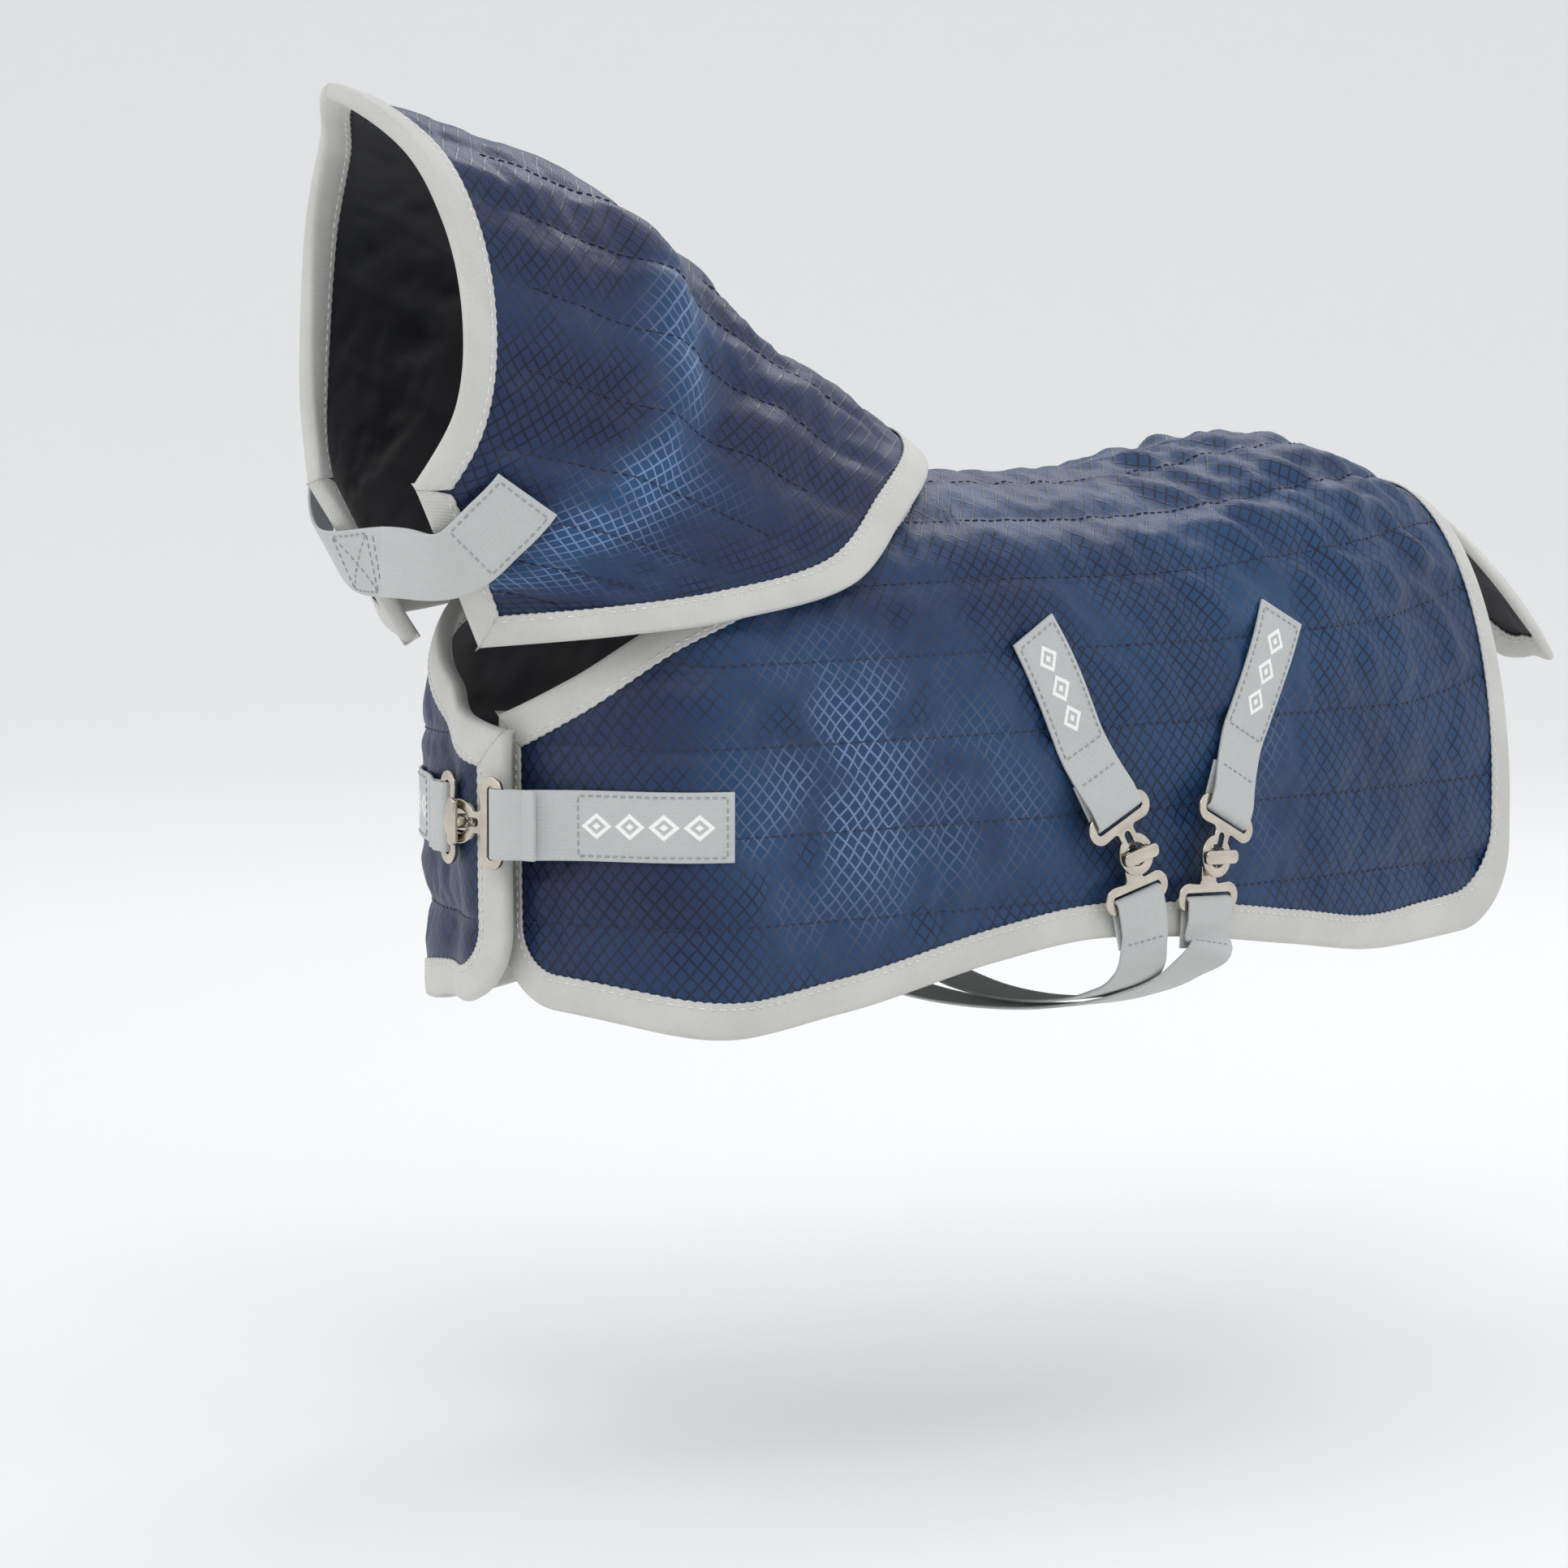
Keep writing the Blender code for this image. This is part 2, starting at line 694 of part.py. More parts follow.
class Frame:
    """A flat piece's own axes: u along its strap, v across, n out from the cloth."""

    def __init__(self, origin, u, n):
        self.origin = origin
        self.n = unit(n)
        self.u = unit(u - self.n * float(u @ self.n))
        self.v = np.cross(self.n, self.u)

    def at(self, u, v, n):
        return self.origin + self.u * u + self.v * v + self.n * n

    def matrix(self):
        """The frame as an object's placement in the world."""
        columns = Matrix([self.u, self.v, self.n]).transposed().to_4x4()
        columns.translation = self.origin * MM
        return columns

    def tipped(self, degrees):
        """Turned about v, so that the +u end goes in towards the cloth."""
        c, s = math.cos(math.radians(degrees)), math.sin(math.radians(degrees))
        return Frame(self.origin, self.u * c - self.n * s, self.n * c + self.u * s)

    def spun(self, degrees):
        """Turned about n."""
        c, s = math.cos(math.radians(degrees)), math.sin(math.radians(degrees))
        return Frame(self.origin, self.u * c + self.v * s, self.n)


BAR_NEAR = SLOT_CENTRE + SLOT_WIDTH / 2
BAR_FAR = BAR_NEAR + PLATE_BAR
HINGE_U = BAR_NEAR + PLATE_BAR / 2
RETURN_LENGTH = 12.0


def web_loop(frame, toward, low):
    """Centre line of webbing that comes along the outside, turns through the slot and returns underneath.

    toward is 1 or -1 for the side of the frame that carries the slot, and low is the plate's inner face.
    """
    clear = LOOP_GAP + WEB_THICK / 2
    middle = low + PLATE_THICK / 2
    radius = PLATE_THICK / 2 + clear
    centre = BAR_NEAR + 0.5
    points, normals = [], []
    for u in (BAR_FAR + 2.5, BAR_NEAR + 1.6):
        points.append(frame.at(toward * u, 0, middle + radius))
        normals.append(frame.n)
    for k in range(7):
        angle = math.pi * k / 6
        points.append(frame.at(toward * (centre - radius * math.sin(angle)), 0, middle + radius * math.cos(angle)))
        normals.append(frame.n * math.cos(angle) - frame.u * toward * math.sin(angle))
    for u in (BAR_FAR, BAR_FAR + RETURN_LENGTH):
        points.append(frame.at(toward * u, 0, middle - radius))
        normals.append(-frame.n)
    return points, normals


def strap(name, stations, loop, width, count):
    """Webbing through the stations and then round a plate's bar."""
    loop_points, loop_normals = loop
    stations = stations + [(loop_points[0], loop_normals[0])]
    centres, normals = run_through(stations, count)
    centres += loop_points[1:]
    normals += loop_normals[1:]
    loft(name, strap_rings(centres, normals, width), "woven_webbing", WEB_GREY)


# ---------------------------------------------------------------- plates
def arc(centre, radius, start, end, steps):
    angles = [math.radians(start + (end - start) * k / steps) for k in range(steps + 1)]
    return [(centre[0] + radius * math.cos(a), centre[1] + radius * math.sin(a)) for a in angles]


def plate_outline(web, tip_radius):
    """Rounded bar with the webbing slot, a neck, and a round end of tip_radius about the origin."""
    half = (web + SLOT_PLAY) / 2 + SLOT_END_WALL
    low, high = SLOT_CENTRE - SLOT_WIDTH / 2 - PLATE_BAR, BAR_FAR
    corner = (high - low) / 2
    spread = math.degrees(math.asin(min(0.95, NECK_HALF / tip_radius)))
    outline = arc((0, 0), tip_radius, spread, 360 - spread, 14)
    outline += arc((low + corner, -half + corner), corner, 180, 360, 8)
    outline += arc((low + corner, half - corner), corner, 0, 180, 8)
    neck_end = low + 0.4
    outline.insert(15, (neck_end, -NECK_HALF))
    outline.append((neck_end, NECK_HALF))
    return outline


def slot_outline(web):
    half = (web + SLOT_PLAY) / 2
    round_ = SLOT_WIDTH / 2
    low = arc((SLOT_CENTRE, -half + round_), round_, 180, 360, 4)
    return low + arc((SLOT_CENTRE, half - round_), round_, 0, 180, 4)


def keyhole_outline():
    """Round eye with a short slit towards the webbing slot."""
    slit = 1.3
    reach = RING_RADIUS
    spread = math.degrees(math.asin(slit / EYE_RADIUS))
    return arc((0, 0), EYE_RADIUS, spread, 360 - spread, 14) + [(reach, -slit), (reach + 0.8, 0), (reach, slit)]


def flat_plate(name, outlines, low, frame, toward):
    """A plate cut to the outlines, from low to low + PLATE_THICK along the frame's n."""
    curve = bpy.data.curves.new(name + "_outline", "CURVE")
    curve.dimensions = "2D"
    curve.fill_mode = "BOTH"
    curve.extrude = PLATE_THICK / 2 * MM
    for points in outlines:
        line = curve.splines.new("POLY")
        line.points.add(len(points) - 1)
        for spot, (u, v) in zip(line.points, points):
            spot.co = (u * MM, v * MM, 0, 1)
        line.use_cyclic_u = True
    drawn = bpy.data.objects.new(name + "_outline", curve)
    PARTS.objects.link(drawn)
    bpy.context.view_layer.update()
    graph = bpy.context.evaluated_depsgraph_get()
    mesh = bpy.data.meshes.new_from_object(drawn.evaluated_get(graph))
    bpy.data.objects.remove(drawn)
    bpy.data.curves.remove(curve)
    mesh.name = name
    body = bmesh.new()
    body.from_mesh(mesh)
    bmesh.ops.remove_doubles(body, verts=body.verts, dist=1e-6)
    for vert in body.verts:
        vert.co = (toward * vert.co.x, vert.co.y, vert.co.z + (low + PLATE_THICK / 2) * MM)
    face_outward(body)
    body.to_mesh(mesh)
    body.free()
    mesh.materials.clear()
    item = link_object(name, mesh, "polished_nickel", NICKEL)
    item.matrix_world = frame.matrix()
    return item


def add_union(item, frame, toward, low):
    """Joins the stem and the T bar to a hook plate."""
    top = low + PLATE_THICK + UNDER_GAP + PLATE_THICK + OVER_GAP
    length, width, thick = T_BAR
    stem = bmesh.new()
    bmesh.ops.create_cone(
        stem, cap_ends=True, segments=12, radius1=STEM_RADIUS, radius2=STEM_RADIUS,
        depth=top + thick / 2 - low - PLATE_THICK / 2,
    )
    middle = (top + thick / 2 + low + PLATE_THICK / 2) / 2
    for vert in stem.verts:
        vert.co = (vert.co + Vector((0, 0, middle))) * MM
    bar = bmesh.new()
    bmesh.ops.create_cube(bar, size=1.0)
    bmesh.ops.bevel(
        bar, geom=[edge for edge in bar.edges if abs((edge.verts[0].co - edge.verts[1].co).z) > 0.5],
        offset=0.3, segments=3, profile=0.5, affect="EDGES", clamp_overlap=True,
    )
    for vert in bar.verts:
        u, v, n = vert.co
        vert.co = Vector((u * width, v * length, top + thick / 2 + n * thick)) * MM
    for label, source in (("stem", stem), ("bar", bar)):
        face_outward(source)
        mesh = bpy.data.meshes.new(f"{item.name}_{label}")
        source.to_mesh(mesh)
        source.free()
        tool = bpy.data.objects.new(f"{item.name}_{label}", mesh)
        tool.hide_render = True
        tool.display_type = "WIRE"
        tool.matrix_world = item.matrix_world
        CUTTERS.objects.link(tool)
        join = item.modifiers.new(label, "BOOLEAN")
        join.operation = "UNION"
        join.object = tool


def build_clip(prefix, frame, web, eye_tip, hook_tip, hook_spin, eye_name, hook_name):
    """An eye plate and the hook plate whose T bar stands through it; returns both plates' frames."""
    eye_frame = frame.tipped(eye_tip)
    hook_frame = frame.spun(hook_spin).tipped(-hook_tip)
    flat_plate(eye_name, [plate_outline(web, RING_RADIUS), slot_outline(web), keyhole_outline()], 0.0, eye_frame, 1)
    low = -UNDER_GAP - PLATE_THICK
    tip = NECK_HALF + 0.3
    hook = flat_plate(hook_name, [plate_outline(web, tip), slot_outline(web)], low, hook_frame, -1)
    add_union(hook, hook_frame, -1, low)
    return eye_frame, hook_frame


HOOK_LOW = -UNDER_GAP - PLATE_THICK


# ---------------------------------------------------------------- chest closure
CHEST_STRAP_Z = -99.0
CHEST_STRAP_RUN = 90.0
CHEST_EYE_RUN = 4.5


def rug_station(run, z, out, side):
    """A strap station on the rug's wall at height z."""
    rise = z - widest(run)
    return rug_point(run, rise, out + WEB_THICK / 2, side), rug_normal(run, rise, side)


def build_chest():
    out = LAP + BINDING_PROUD + WEB_LIFT - HOOK_LOW
    origin = rug_point(CHEST_EYE_RUN, CHEST_STRAP_Z - widest(CHEST_EYE_RUN), out, -1)
    frame = Frame(origin, np.array([0.0, -1.0, 0.0]), np.array([-1.0, 0.0, 0.0]))
    eye_frame, hook_frame = build_clip(
        "chest", frame, CHEST_WEB, 10.0, 9.0, 0.0, "chest_eye_plate", "chest_hook_plate"
    )
    near = [rug_station(run, CHEST_STRAP_Z, WEB_LIFT, -1) for run in (CHEST_STRAP_RUN, 78.0, 66.0, 54.0)]
    near += [rug_station(42.0, CHEST_STRAP_Z, 2.6, -1)]
    strap("chest_strap_near", near, web_loop(eye_frame, 1, 0.0), CHEST_WEB, 16)
    off = [rug_station(run, CHEST_STRAP_Z, WEB_LIFT, 1) for run in (CHEST_STRAP_RUN, 78.0, 66.0, 54.0)]
    off += [rug_station(40.0, CHEST_STRAP_Z, 1.4, 1)]
    strap("chest_strap_off", off, web_loop(hook_frame, -1, HOOK_LOW), CHEST_WEB, 16)


# ---------------------------------------------------------------- surcingles
BELLY_PLATE_LIFT = BINDING_PROUD + WEB_LIFT + WEB_THICK + LOOP_GAP + 0.3
BELLY_DROP = 26.0
SURCINGLE_TOP_Z = -40.0
BELLY_CROSS_GAP = 2.2


def surcingle(prefix, top_x, eye_x, eye_z, spin, far_hem_x, far_top_x, outer):
    """One surcingle: the sewn near strap, its clip, and the belly strap sewn to the off side."""
    top = np.array([top_x, SURCINGLE_TOP_Z])
    eye = np.array([eye_x, eye_z])

    def wall(x, z, out, side=-1):
        return rug_station(run_at(x + RUG_X0), z, out, side)

    lift = BELLY_PLATE_LIFT - HOOK_LOW
    origin, normal = wall(eye[0], eye[1], lift - WEB_THICK / 2)
    slope = unit(top - eye)
    frame = Frame(origin, np.array([slope[0], 0.0, slope[1]]), normal)
    eye_frame, hook_frame = build_clip(
        prefix, frame, BELLY_WEB, 8.0, 0.0, spin, f"{prefix}_eye_plate", f"{prefix}_hook_plate"
    )
    sewn = [top + (eye - top) * share for share in (0.0, 0.14, 0.28, 0.42, 0.52)]
    near = [wall(x, z, WEB_LIFT) for x, z in sewn]
    x, z = top + (eye - top) * 0.64
    near += [wall(x, z, WEB_LIFT + 2.2)]
    strap(f"{prefix}_near_strap", near, web_loop(eye_frame, 1, 0.0), BELLY_WEB, 14)

    hem_z = -RUG_DROP + 2.0
    half = BARREL_HALF_WIDTH + BINDING_PROUD + WEB_LIFT + WEB_THICK + outer
    start = hook_frame.at(-(BAR_FAR + RETURN_LENGTH), 0, 0)
    stations = []
    far_top = np.array([far_top_x, SURCINGLE_TOP_Z])
    far_low = np.array([far_hem_x, hem_z + 14])
    for share in (0.0, 0.2, 0.4, 0.6, 0.78):
        x, z = far_top + (far_low - far_top) * share
        stations.append(wall(x, z, WEB_LIFT, 1))
    x, z = far_low
    stations.append(wall(x, z + 2, BINDING_PROUD + WEB_LIFT + outer, 1))
    steps = 9
    for k in range(steps):
        share = k / (steps - 1)
        angle = math.pi * (0.02 + 0.96 * share)
        x = far_hem_x + (start[0] - far_hem_x) * share
        down = BELLY_DROP + outer
        point = np.array([x, half * math.cos(angle), hem_z - down * math.sin(angle)])
        stations.append((point, unit(np.array([0.0, math.cos(angle) / half, -math.sin(angle) / down]))))
    stations.append((hook_frame.at(-(BAR_FAR + 9), 0, HOOK_LOW + PLATE_THICK), hook_frame.n))
    strap(f"{prefix}_belly_strap", stations, web_loop(hook_frame, -1, HOOK_LOW), BELLY_WEB, 34)


# ---------------------------------------------------------------- throat fastening
def build_throat():
    """Strap from the off half across the open throat, and the tab that folds over the near half."""
    lift = BINDING_PROUD + WEB_LIFT

    def stop(down, round_, out, side):
        return cover_point(down, round_, out + WEB_THICK / 2, side), cover_normal(down, round_, side)

    base = [stop(*spot, lift + OVER_EDGE, 1) for spot in ((40, 24), (42, 18), (44, 11), (46, 4))]
    bridge_y = -0.10 * FACE_HALF_WIDTH
    front_x = cover_point(48, 0, lift, 1)[0] - 4.0
    base.append((np.array([front_x, bridge_y, -17.5]), unit(np.array([-1.0, -0.25, 0.0]))))
    centres, normals = run_through(base, 12)
    loft("throat_strap", strap_rings(centres, normals, CHEST_WEB), "woven_webbing", WEB_GREY)

    above = WEB_LIFT + 2 * PATCH_THICK + 4 * PLY_GAP
    fold = centres[-1] + unit(centres[-1] - centres[-2]) * TAB_FOLD
    tab = [(fold, normals[-1]), stop(44, 4, lift + OVER_EDGE, -1)]
    tab += [stop(*spot, above, -1) for spot in ((40, 9.8), (38.3, 12.9), (36.5, 16.2), (36, 17))]
    centres, normals = run_through(tab, 14)
    loft("throat_tab", strap_rings(centres, normals, CHEST_WEB), "woven_webbing", WEB_GREY)

    for name, out in (("throat_loop_patch", WEB_LIFT), ("throat_hook_patch", WEB_LIFT + PATCH_THICK + PLY_GAP)):
        spots = ((39.5, 10.8), (38, 13.5), (36.5, 16.2))
        stations = [(cover_point(*spot, out + PATCH_THICK / 2, -1), cover_normal(*spot, -1)) for spot in spots]
        centres, normals = run_through(stations, 5)
        loft(name, strap_rings(centres, normals, CHEST_WEB - 4, PATCH_THICK), "hook_and_loop", LOOP_GREY)


# ---------------------------------------------------------------- tail flap
FLAP_COLUMNS = 7
FLAP_ROWS = 8


def flap_base(back, across):
    """Point of the tail flap's outer surface: back from its seam, across from the centre line."""
    seam_run = REAR_RUN + BINDING_PROUD + 0.8
    root = rug_base(seam_run, crown_arc(seam_run) - abs(across))
    root[1] = math.copysign(abs(root[1]), across)
    share = back / FLAP_LENGTH
    slope = math.radians(24 + 16 * share)
    flatten = 1 - 0.25 * share
    crown = rug_base(seam_run, crown_arc(seam_run))
    drop = (root[2] - crown[2]) * flatten
    return np.array([
        crown[0] + back * math.cos(slope), root[1], crown[2] - 1.5 + drop - back * math.sin(slope) * 1.0,
    ])


def flap_point(back, across, out=0.0, side=1):
    step = 1.0
    along = flap_base(back + step, across) - flap_base(back - step, across)
    sideways = flap_base(back, across + step) - flap_base(back, across - step)
    normal = unit(np.cross(along, sideways))
    point = flap_base(back, across) + normal * out
    return np.array([point[0], side * point[1], point[2]])


def flap_half(back):
    """Half-width of the flap, narrowing to a rounded tip."""
    share = max(0.0, back / FLAP_LENGTH - 0.45) / 0.55
    return FLAP_HALF_WIDTH * (1 - 0.55 * share * share)


def build_flap():
    def placed(start):
        def place(column, row, depth):
            back = FLAP_LENGTH * column / FLAP_COLUMNS
            across = flap_half(back) * (2 * row / FLAP_ROWS - 1)
            return flap_point(back, across, -start - depth)
        return place

    layer("tail_flap_shell", placed(0.0), FLAP_COLUMNS, FLAP_ROWS, SHELL_THICK, "ripstop_shell", NAVY)
    below = SHELL_THICK + PLY_GAP
    layer("tail_flap_lining", placed(below), FLAP_COLUMNS, FLAP_ROWS, LINING_THICK, "nylon_lining", LINING_BLACK)
    backs = [FLAP_LENGTH * k / FLAP_COLUMNS for k in range(FLAP_COLUMNS + 1)]
    path = [(back, -flap_half(back)) for back in backs]
    path += [(FLAP_LENGTH, flap_half(FLAP_LENGTH) * (2 * k / FLAP_ROWS - 1)) for k in range(1, FLAP_ROWS)]
    path += [(back, flap_half(back)) for back in backs[::-1]]
    path = [np.array(p, dtype=float) for p in path]
    stack = SHELL_THICK + PLY_GAP + LINING_THICK
    profile = binding_profile(stack, FLAP_BINDING_WIDTH)
    inwards = edge_normals(path, first=(0.0, 1.0), last=(0.0, -1.0))
    rings = []
    for p, inward in zip(path, inwards):
        rings.append([flap_point(*(p + inward * reach), out) for reach, out in profile])
    loft("tail_flap_binding", rings, "edge_binding", BINDING_GREY)


# ---------------------------------------------------------------- assembly
def clear_scene():
    for item in list(bpy.data.objects):
        bpy.data.objects.remove(item)


def new_collection(name):
    collection = bpy.data.collections.new(name)
    bpy.context.scene.collection.children.link(collection)
    return collection


clear_scene()
PARTS = new_collection("turnout_rug")
CUTTERS = new_collection("cutters")

for rug_side in (-1, 1):
    build_rug_side(rug_side)
    build_cover_side(rug_side)
build_spine_tape()
build_crest_tape()
build_flap()
build_chest()
surcingle("front_surcingle", -44.0, -6.0, -116.0, -12.0, 34.0, 66.0, 0.0)
surcingle("rear_surcingle", 70.0, 30.0, -119.0, 25.0, -14.0, -46.0, BELLY_CROSS_GAP)
build_throat()
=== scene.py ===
"""Turnout rug with a neck cover, at toy pony size: the finished look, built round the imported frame.

Sizes in the shape code are in millimetres and become metres when a mesh is made. x runs to the rear, y to the
off side, z up, and the origin is on the back under the spine tape.
"""

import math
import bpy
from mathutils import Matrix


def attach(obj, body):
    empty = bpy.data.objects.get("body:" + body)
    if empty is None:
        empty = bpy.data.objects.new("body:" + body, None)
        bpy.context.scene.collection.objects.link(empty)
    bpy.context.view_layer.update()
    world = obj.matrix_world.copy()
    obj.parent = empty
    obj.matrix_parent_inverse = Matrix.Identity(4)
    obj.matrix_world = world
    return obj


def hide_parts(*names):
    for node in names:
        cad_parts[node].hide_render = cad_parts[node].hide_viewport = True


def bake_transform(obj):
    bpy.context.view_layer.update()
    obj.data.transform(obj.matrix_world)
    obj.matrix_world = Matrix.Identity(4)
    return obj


bl_info = {
    "name": "Turnout Rug",
    "version": (1, 0, 0),
    "blender": (4, 5, 0),
    "location": "3D View > Sidebar > Turnout Rug",
    "description": "Builds a quilted turnout rug with its neck cover, webbing, clips and stitching",
    "category": "Object",
}

from functools import partial

import bmesh
import bpy
import numpy as np
from bpy.props import FloatProperty, FloatVectorProperty, PointerProperty
from mathutils import Matrix, Vector

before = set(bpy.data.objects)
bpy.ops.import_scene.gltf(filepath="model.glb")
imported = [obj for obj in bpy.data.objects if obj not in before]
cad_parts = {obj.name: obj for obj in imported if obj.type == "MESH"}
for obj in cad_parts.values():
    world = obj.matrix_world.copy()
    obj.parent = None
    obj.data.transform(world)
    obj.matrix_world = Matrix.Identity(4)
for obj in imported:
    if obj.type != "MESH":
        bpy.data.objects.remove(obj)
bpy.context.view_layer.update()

MM = 0.001
SIDES = (("near", -1), ("off", 1))

# Cloth layers, as in the frame
SHELL_THICK = 0.6
FILL_THICK = 2.2
LINING_THICK = 0.5
PLY_GAP = 0.3
STACK = SHELL_THICK + PLY_GAP + FILL_THICK + PLY_GAP + LINING_THICK
TAPE_DROP = 0.9
TAPE_THICK = 0.6

# Binding: the frame's room for it, and the folded tape that is made here
BINDING_WIDTH = 10.0
BINDING_PROUD = 1.8
TAPE_CLEAR = 0.12
TAPE_SKIN = 0.75

# Rug
RUG_LENGTH = 398.0
RUG_X0 = 200.0
BARREL_HALF_WIDTH = 80.0
REAR_HALF_WIDTH = 55.0
NOSE_LENGTH = 48.0
NOSE_ROUNDNESS = 2.1
RUG_DROP = 148.0
NECK_OPENING = 146.0
FRONT_CORNER = 24.0
REAR_CORNER = 26.0
WALL_TUCK = 4.0
FLANK_BULGE = 6.0
CHEST_OVERLAP = 16.0
NEAR_FRONT_EDGE = 5.0
RUG_SLACK = 1.5
LAP = STACK + RUG_SLACK + 2 * BINDING_PROUD + 1.0
LAP_RUNOUT = 30.0

# Neck cover
COVER_BEHIND_NECKLINE = 18.0
COVER_SLACK = 0.6
COVER_LIFT = STACK + COVER_SLACK + 2 * BINDING_PROUD + 2.2
POLL = (-259.0, 129.0)
CREST_RISE = 17.0
FACE_HALF_WIDTH = 45.0

# Webbing and hardware
CHEST_WEB = 22.0
BELLY_WEB = 20.0
WEB_THICK = 1.1
WEB_LIFT = 0.4
PLATE_THICK = 1.5
PLATE_BAR = 3.4
SLOT_WIDTH = 2.8
SLOT_PLAY = 1.2
SLOT_END_WALL = 3.2
SLOT_CENTRE = 13.6
RING_RADIUS = 7.0
EYE_RADIUS = 3.8
NECK_HALF = 3.4
STEM_RADIUS = 2.3
T_BAR = (15.0, 4.6, 1.9)
UNDER_GAP = 1.6
OVER_GAP = 0.9
LOOP_GAP = 0.4
RETURN_LENGTH = 12.0
PATCH_THICK = 0.9
PATCH_WIDTH = CHEST_WEB - 4
OVER_EDGE = 3.8
HOOK_LOW = -UNDER_GAP - PLATE_THICK
BAR_NEAR = SLOT_CENTRE + SLOT_WIDTH / 2
BAR_FAR = BAR_NEAR + PLATE_BAR

# Tail flap
FLAP_LENGTH = 88.0
FLAP_HALF_WIDTH = 30.0
FLAP_BINDING_WIDTH = 8.0
FLAP_TUCK = 12.0
FLAP_CORNER = 9.0

# Grids: spacing of the finished cloth's points, of the simulated cloth's and of a path's
CLOTH_STEP = 2.6
SIM_STEP = 5.0
PATH_STEP = 1.1
WEB_STEP = 1.6
ARC_STEPS = 40

# Quilting: height of the body's first line, and distance of the cover's first line from its crest
QUILT_START = -19.0
COVER_QUILT_START = 22.0
QUILT_LINES_ON_COVER = 8
QUILT_END = 9.0
CREASE_X = -79.0
LINING_ROOM = 0.9

# Simulation of the quilted cloth: frames, pressure, growth past its stitching, and the most that a point may move
SIM_FRAMES = 16
SIM_PRESSURE = 1.5
CLOTH_GROWTH = 0.012
SIM_CAP = 1.3

# Width and length of the rectangle that each cloth panel is cut from, in metres
RUG_CUT = {"near": (0.213, 0.484), "off": (0.213, 0.509)}
COVER_CUT = (0.252, 0.258)

# Thread: length of a stitch with its gap, and the thread's radius
STITCH_PITCH = 3.3
THREADS = {"pale_thread": (STITCH_PITCH, 0.28), "grey_thread": (2.6, 0.24), "navy_thread": (3.4, 0.26)}
STITCH_SIDES = 6
STITCH_SHARE = 0.74
STITCH_INSET = 1.9
STITCH_FREE = 12.0
MITRE_OVERHANG = 1.8
NO_LIMIT = 99.0

# Woven lozenges: distance from one to the next, and half a lozenge's width across the webbing
LOZENGE_PITCH = 11.0
LOZENGE_HALF = 4.6

# Straps: heights and places of their sewn ends and of their plates
CHEST_STRAP_Z = -99.0
CHEST_EYE_RUN = 4.5
SURCINGLES = {
    "front_surcingle": dict(
        top_x=-44.0, eye_x=-6.0, eye_z=-116.0, spin=-12.0, far_hem_x=34.0, far_top_x=66.0, outer=0.0
    ),
    "rear_surcingle": dict(
        top_x=70.0, eye_x=30.0, eye_z=-119.0, spin=25.0, far_hem_x=-14.0, far_top_x=-46.0, outer=2.2
    ),
}
SURCINGLE_TOP_Z = -40.0
BELLY_PLATE_LIFT = BINDING_PROUD + WEB_LIFT + WEB_THICK + LOOP_GAP + 0.3
BELLY_DROP = 26.0
TAB_OVERLAP = 7.0

# Angles in degrees above which an edge stays sharp
SHARP_METAL, SHARP_WEB, SHARP_TAPE = 38, 50, 40

# Camera, in degrees and metres
VIEW_AZIMUTH = -38.7
VIEW_TILT = 4.9
VIEW_DISTANCE = 1.96
VIEW_TARGET = (-0.082, 0.0, 0.073)


def linear(code):
    """Linear red, green and blue from an sRGB hex code."""
    shades = [int(code[k:k + 2], 16) / 255 for k in (1, 3, 5)]
    return tuple(s / 12.92 if s <= 0.04045 else ((s + 0.055) / 1.055) ** 2.4 for s in shades)


# ---------------------------------------------------------------- settings
def length_setting(name, description, default):
    return FloatProperty(name=name, description=description, default=default, unit="LENGTH", precision=4)


def colour_setting(name, description, code):
    return FloatVectorProperty(
        name=name, description=description, default=linear(code), subtype="COLOR", size=3, min=0, max=1
    )


class RugClothSettings(bpy.types.PropertyGroup):
    """Sizes and colours of the quilted cloth."""

    quilt_spacing: length_setting("Quilt spacing", "Distance between the body's quilting lines", 0.028)
    hood_spacing: length_setting("Neck spacing", "Distance between the neck cover's quilting lines", 0.026)
    quilt_depth: length_setting("Quilt depth", "How far a quilting line pulls the shell in", 0.0019)
    cell: length_setting("Grid cell", "Size of one cell of the ripstop grid", 0.0038)
    navy: colour_setting("Shell", "Ground colour of the shell", "#224872")
    # Painted shade: a darker copy of the shell's ground colour, mixed in where the shell is painted as lying in shade.
    navy_deep: colour_setting("Shell, deep", "Darker ground that the shell varies to", "#1A294B")
    grid_dark: colour_setting("Grid, dark", "Ripstop threads where they look dark", "#04081A")
    # Painted sheen: a pale copy of the ripstop threads' dark colour, put where the threads are painted as catching the
    # light.
    grid_light: colour_setting("Grid, light", "Ripstop threads where they catch the light", "#7C93BE")
    lining: colour_setting("Lining", "Colour of the lining", "#14161F")
    wadding: colour_setting("Wadding", "Colour of the fibre fill", "#E9E8E2")


class RugTrimSettings(bpy.types.PropertyGroup):
    """Sizes and colours of the binding, webbing and thread."""

    stitch: length_setting("Stitch length", "Length of one stitch with its gap", 0.0033)
    binding: colour_setting("Binding", "Colour of the edge binding", "#D2D2CC")
    webbing: colour_setting("Webbing", "Colour of the webbing's ground", "#BFC2C0")
    motif: colour_setting("Woven motif", "Colour of the lozenges woven into the webbing", "#FCFCFA")
    thread: colour_setting("Pale thread", "Thread on the binding", "#EDEDE8")
    web_thread: colour_setting("Grey thread", "Thread on the webbing", "#A3A5A5")
    quilt_thread: colour_setting("Navy thread", "Thread of the quilting lines", "#141C3C")
    loop_tape: colour_setting("Hook-and-loop", "Colour of the hook-and-loop tape", "#A9ACB0")


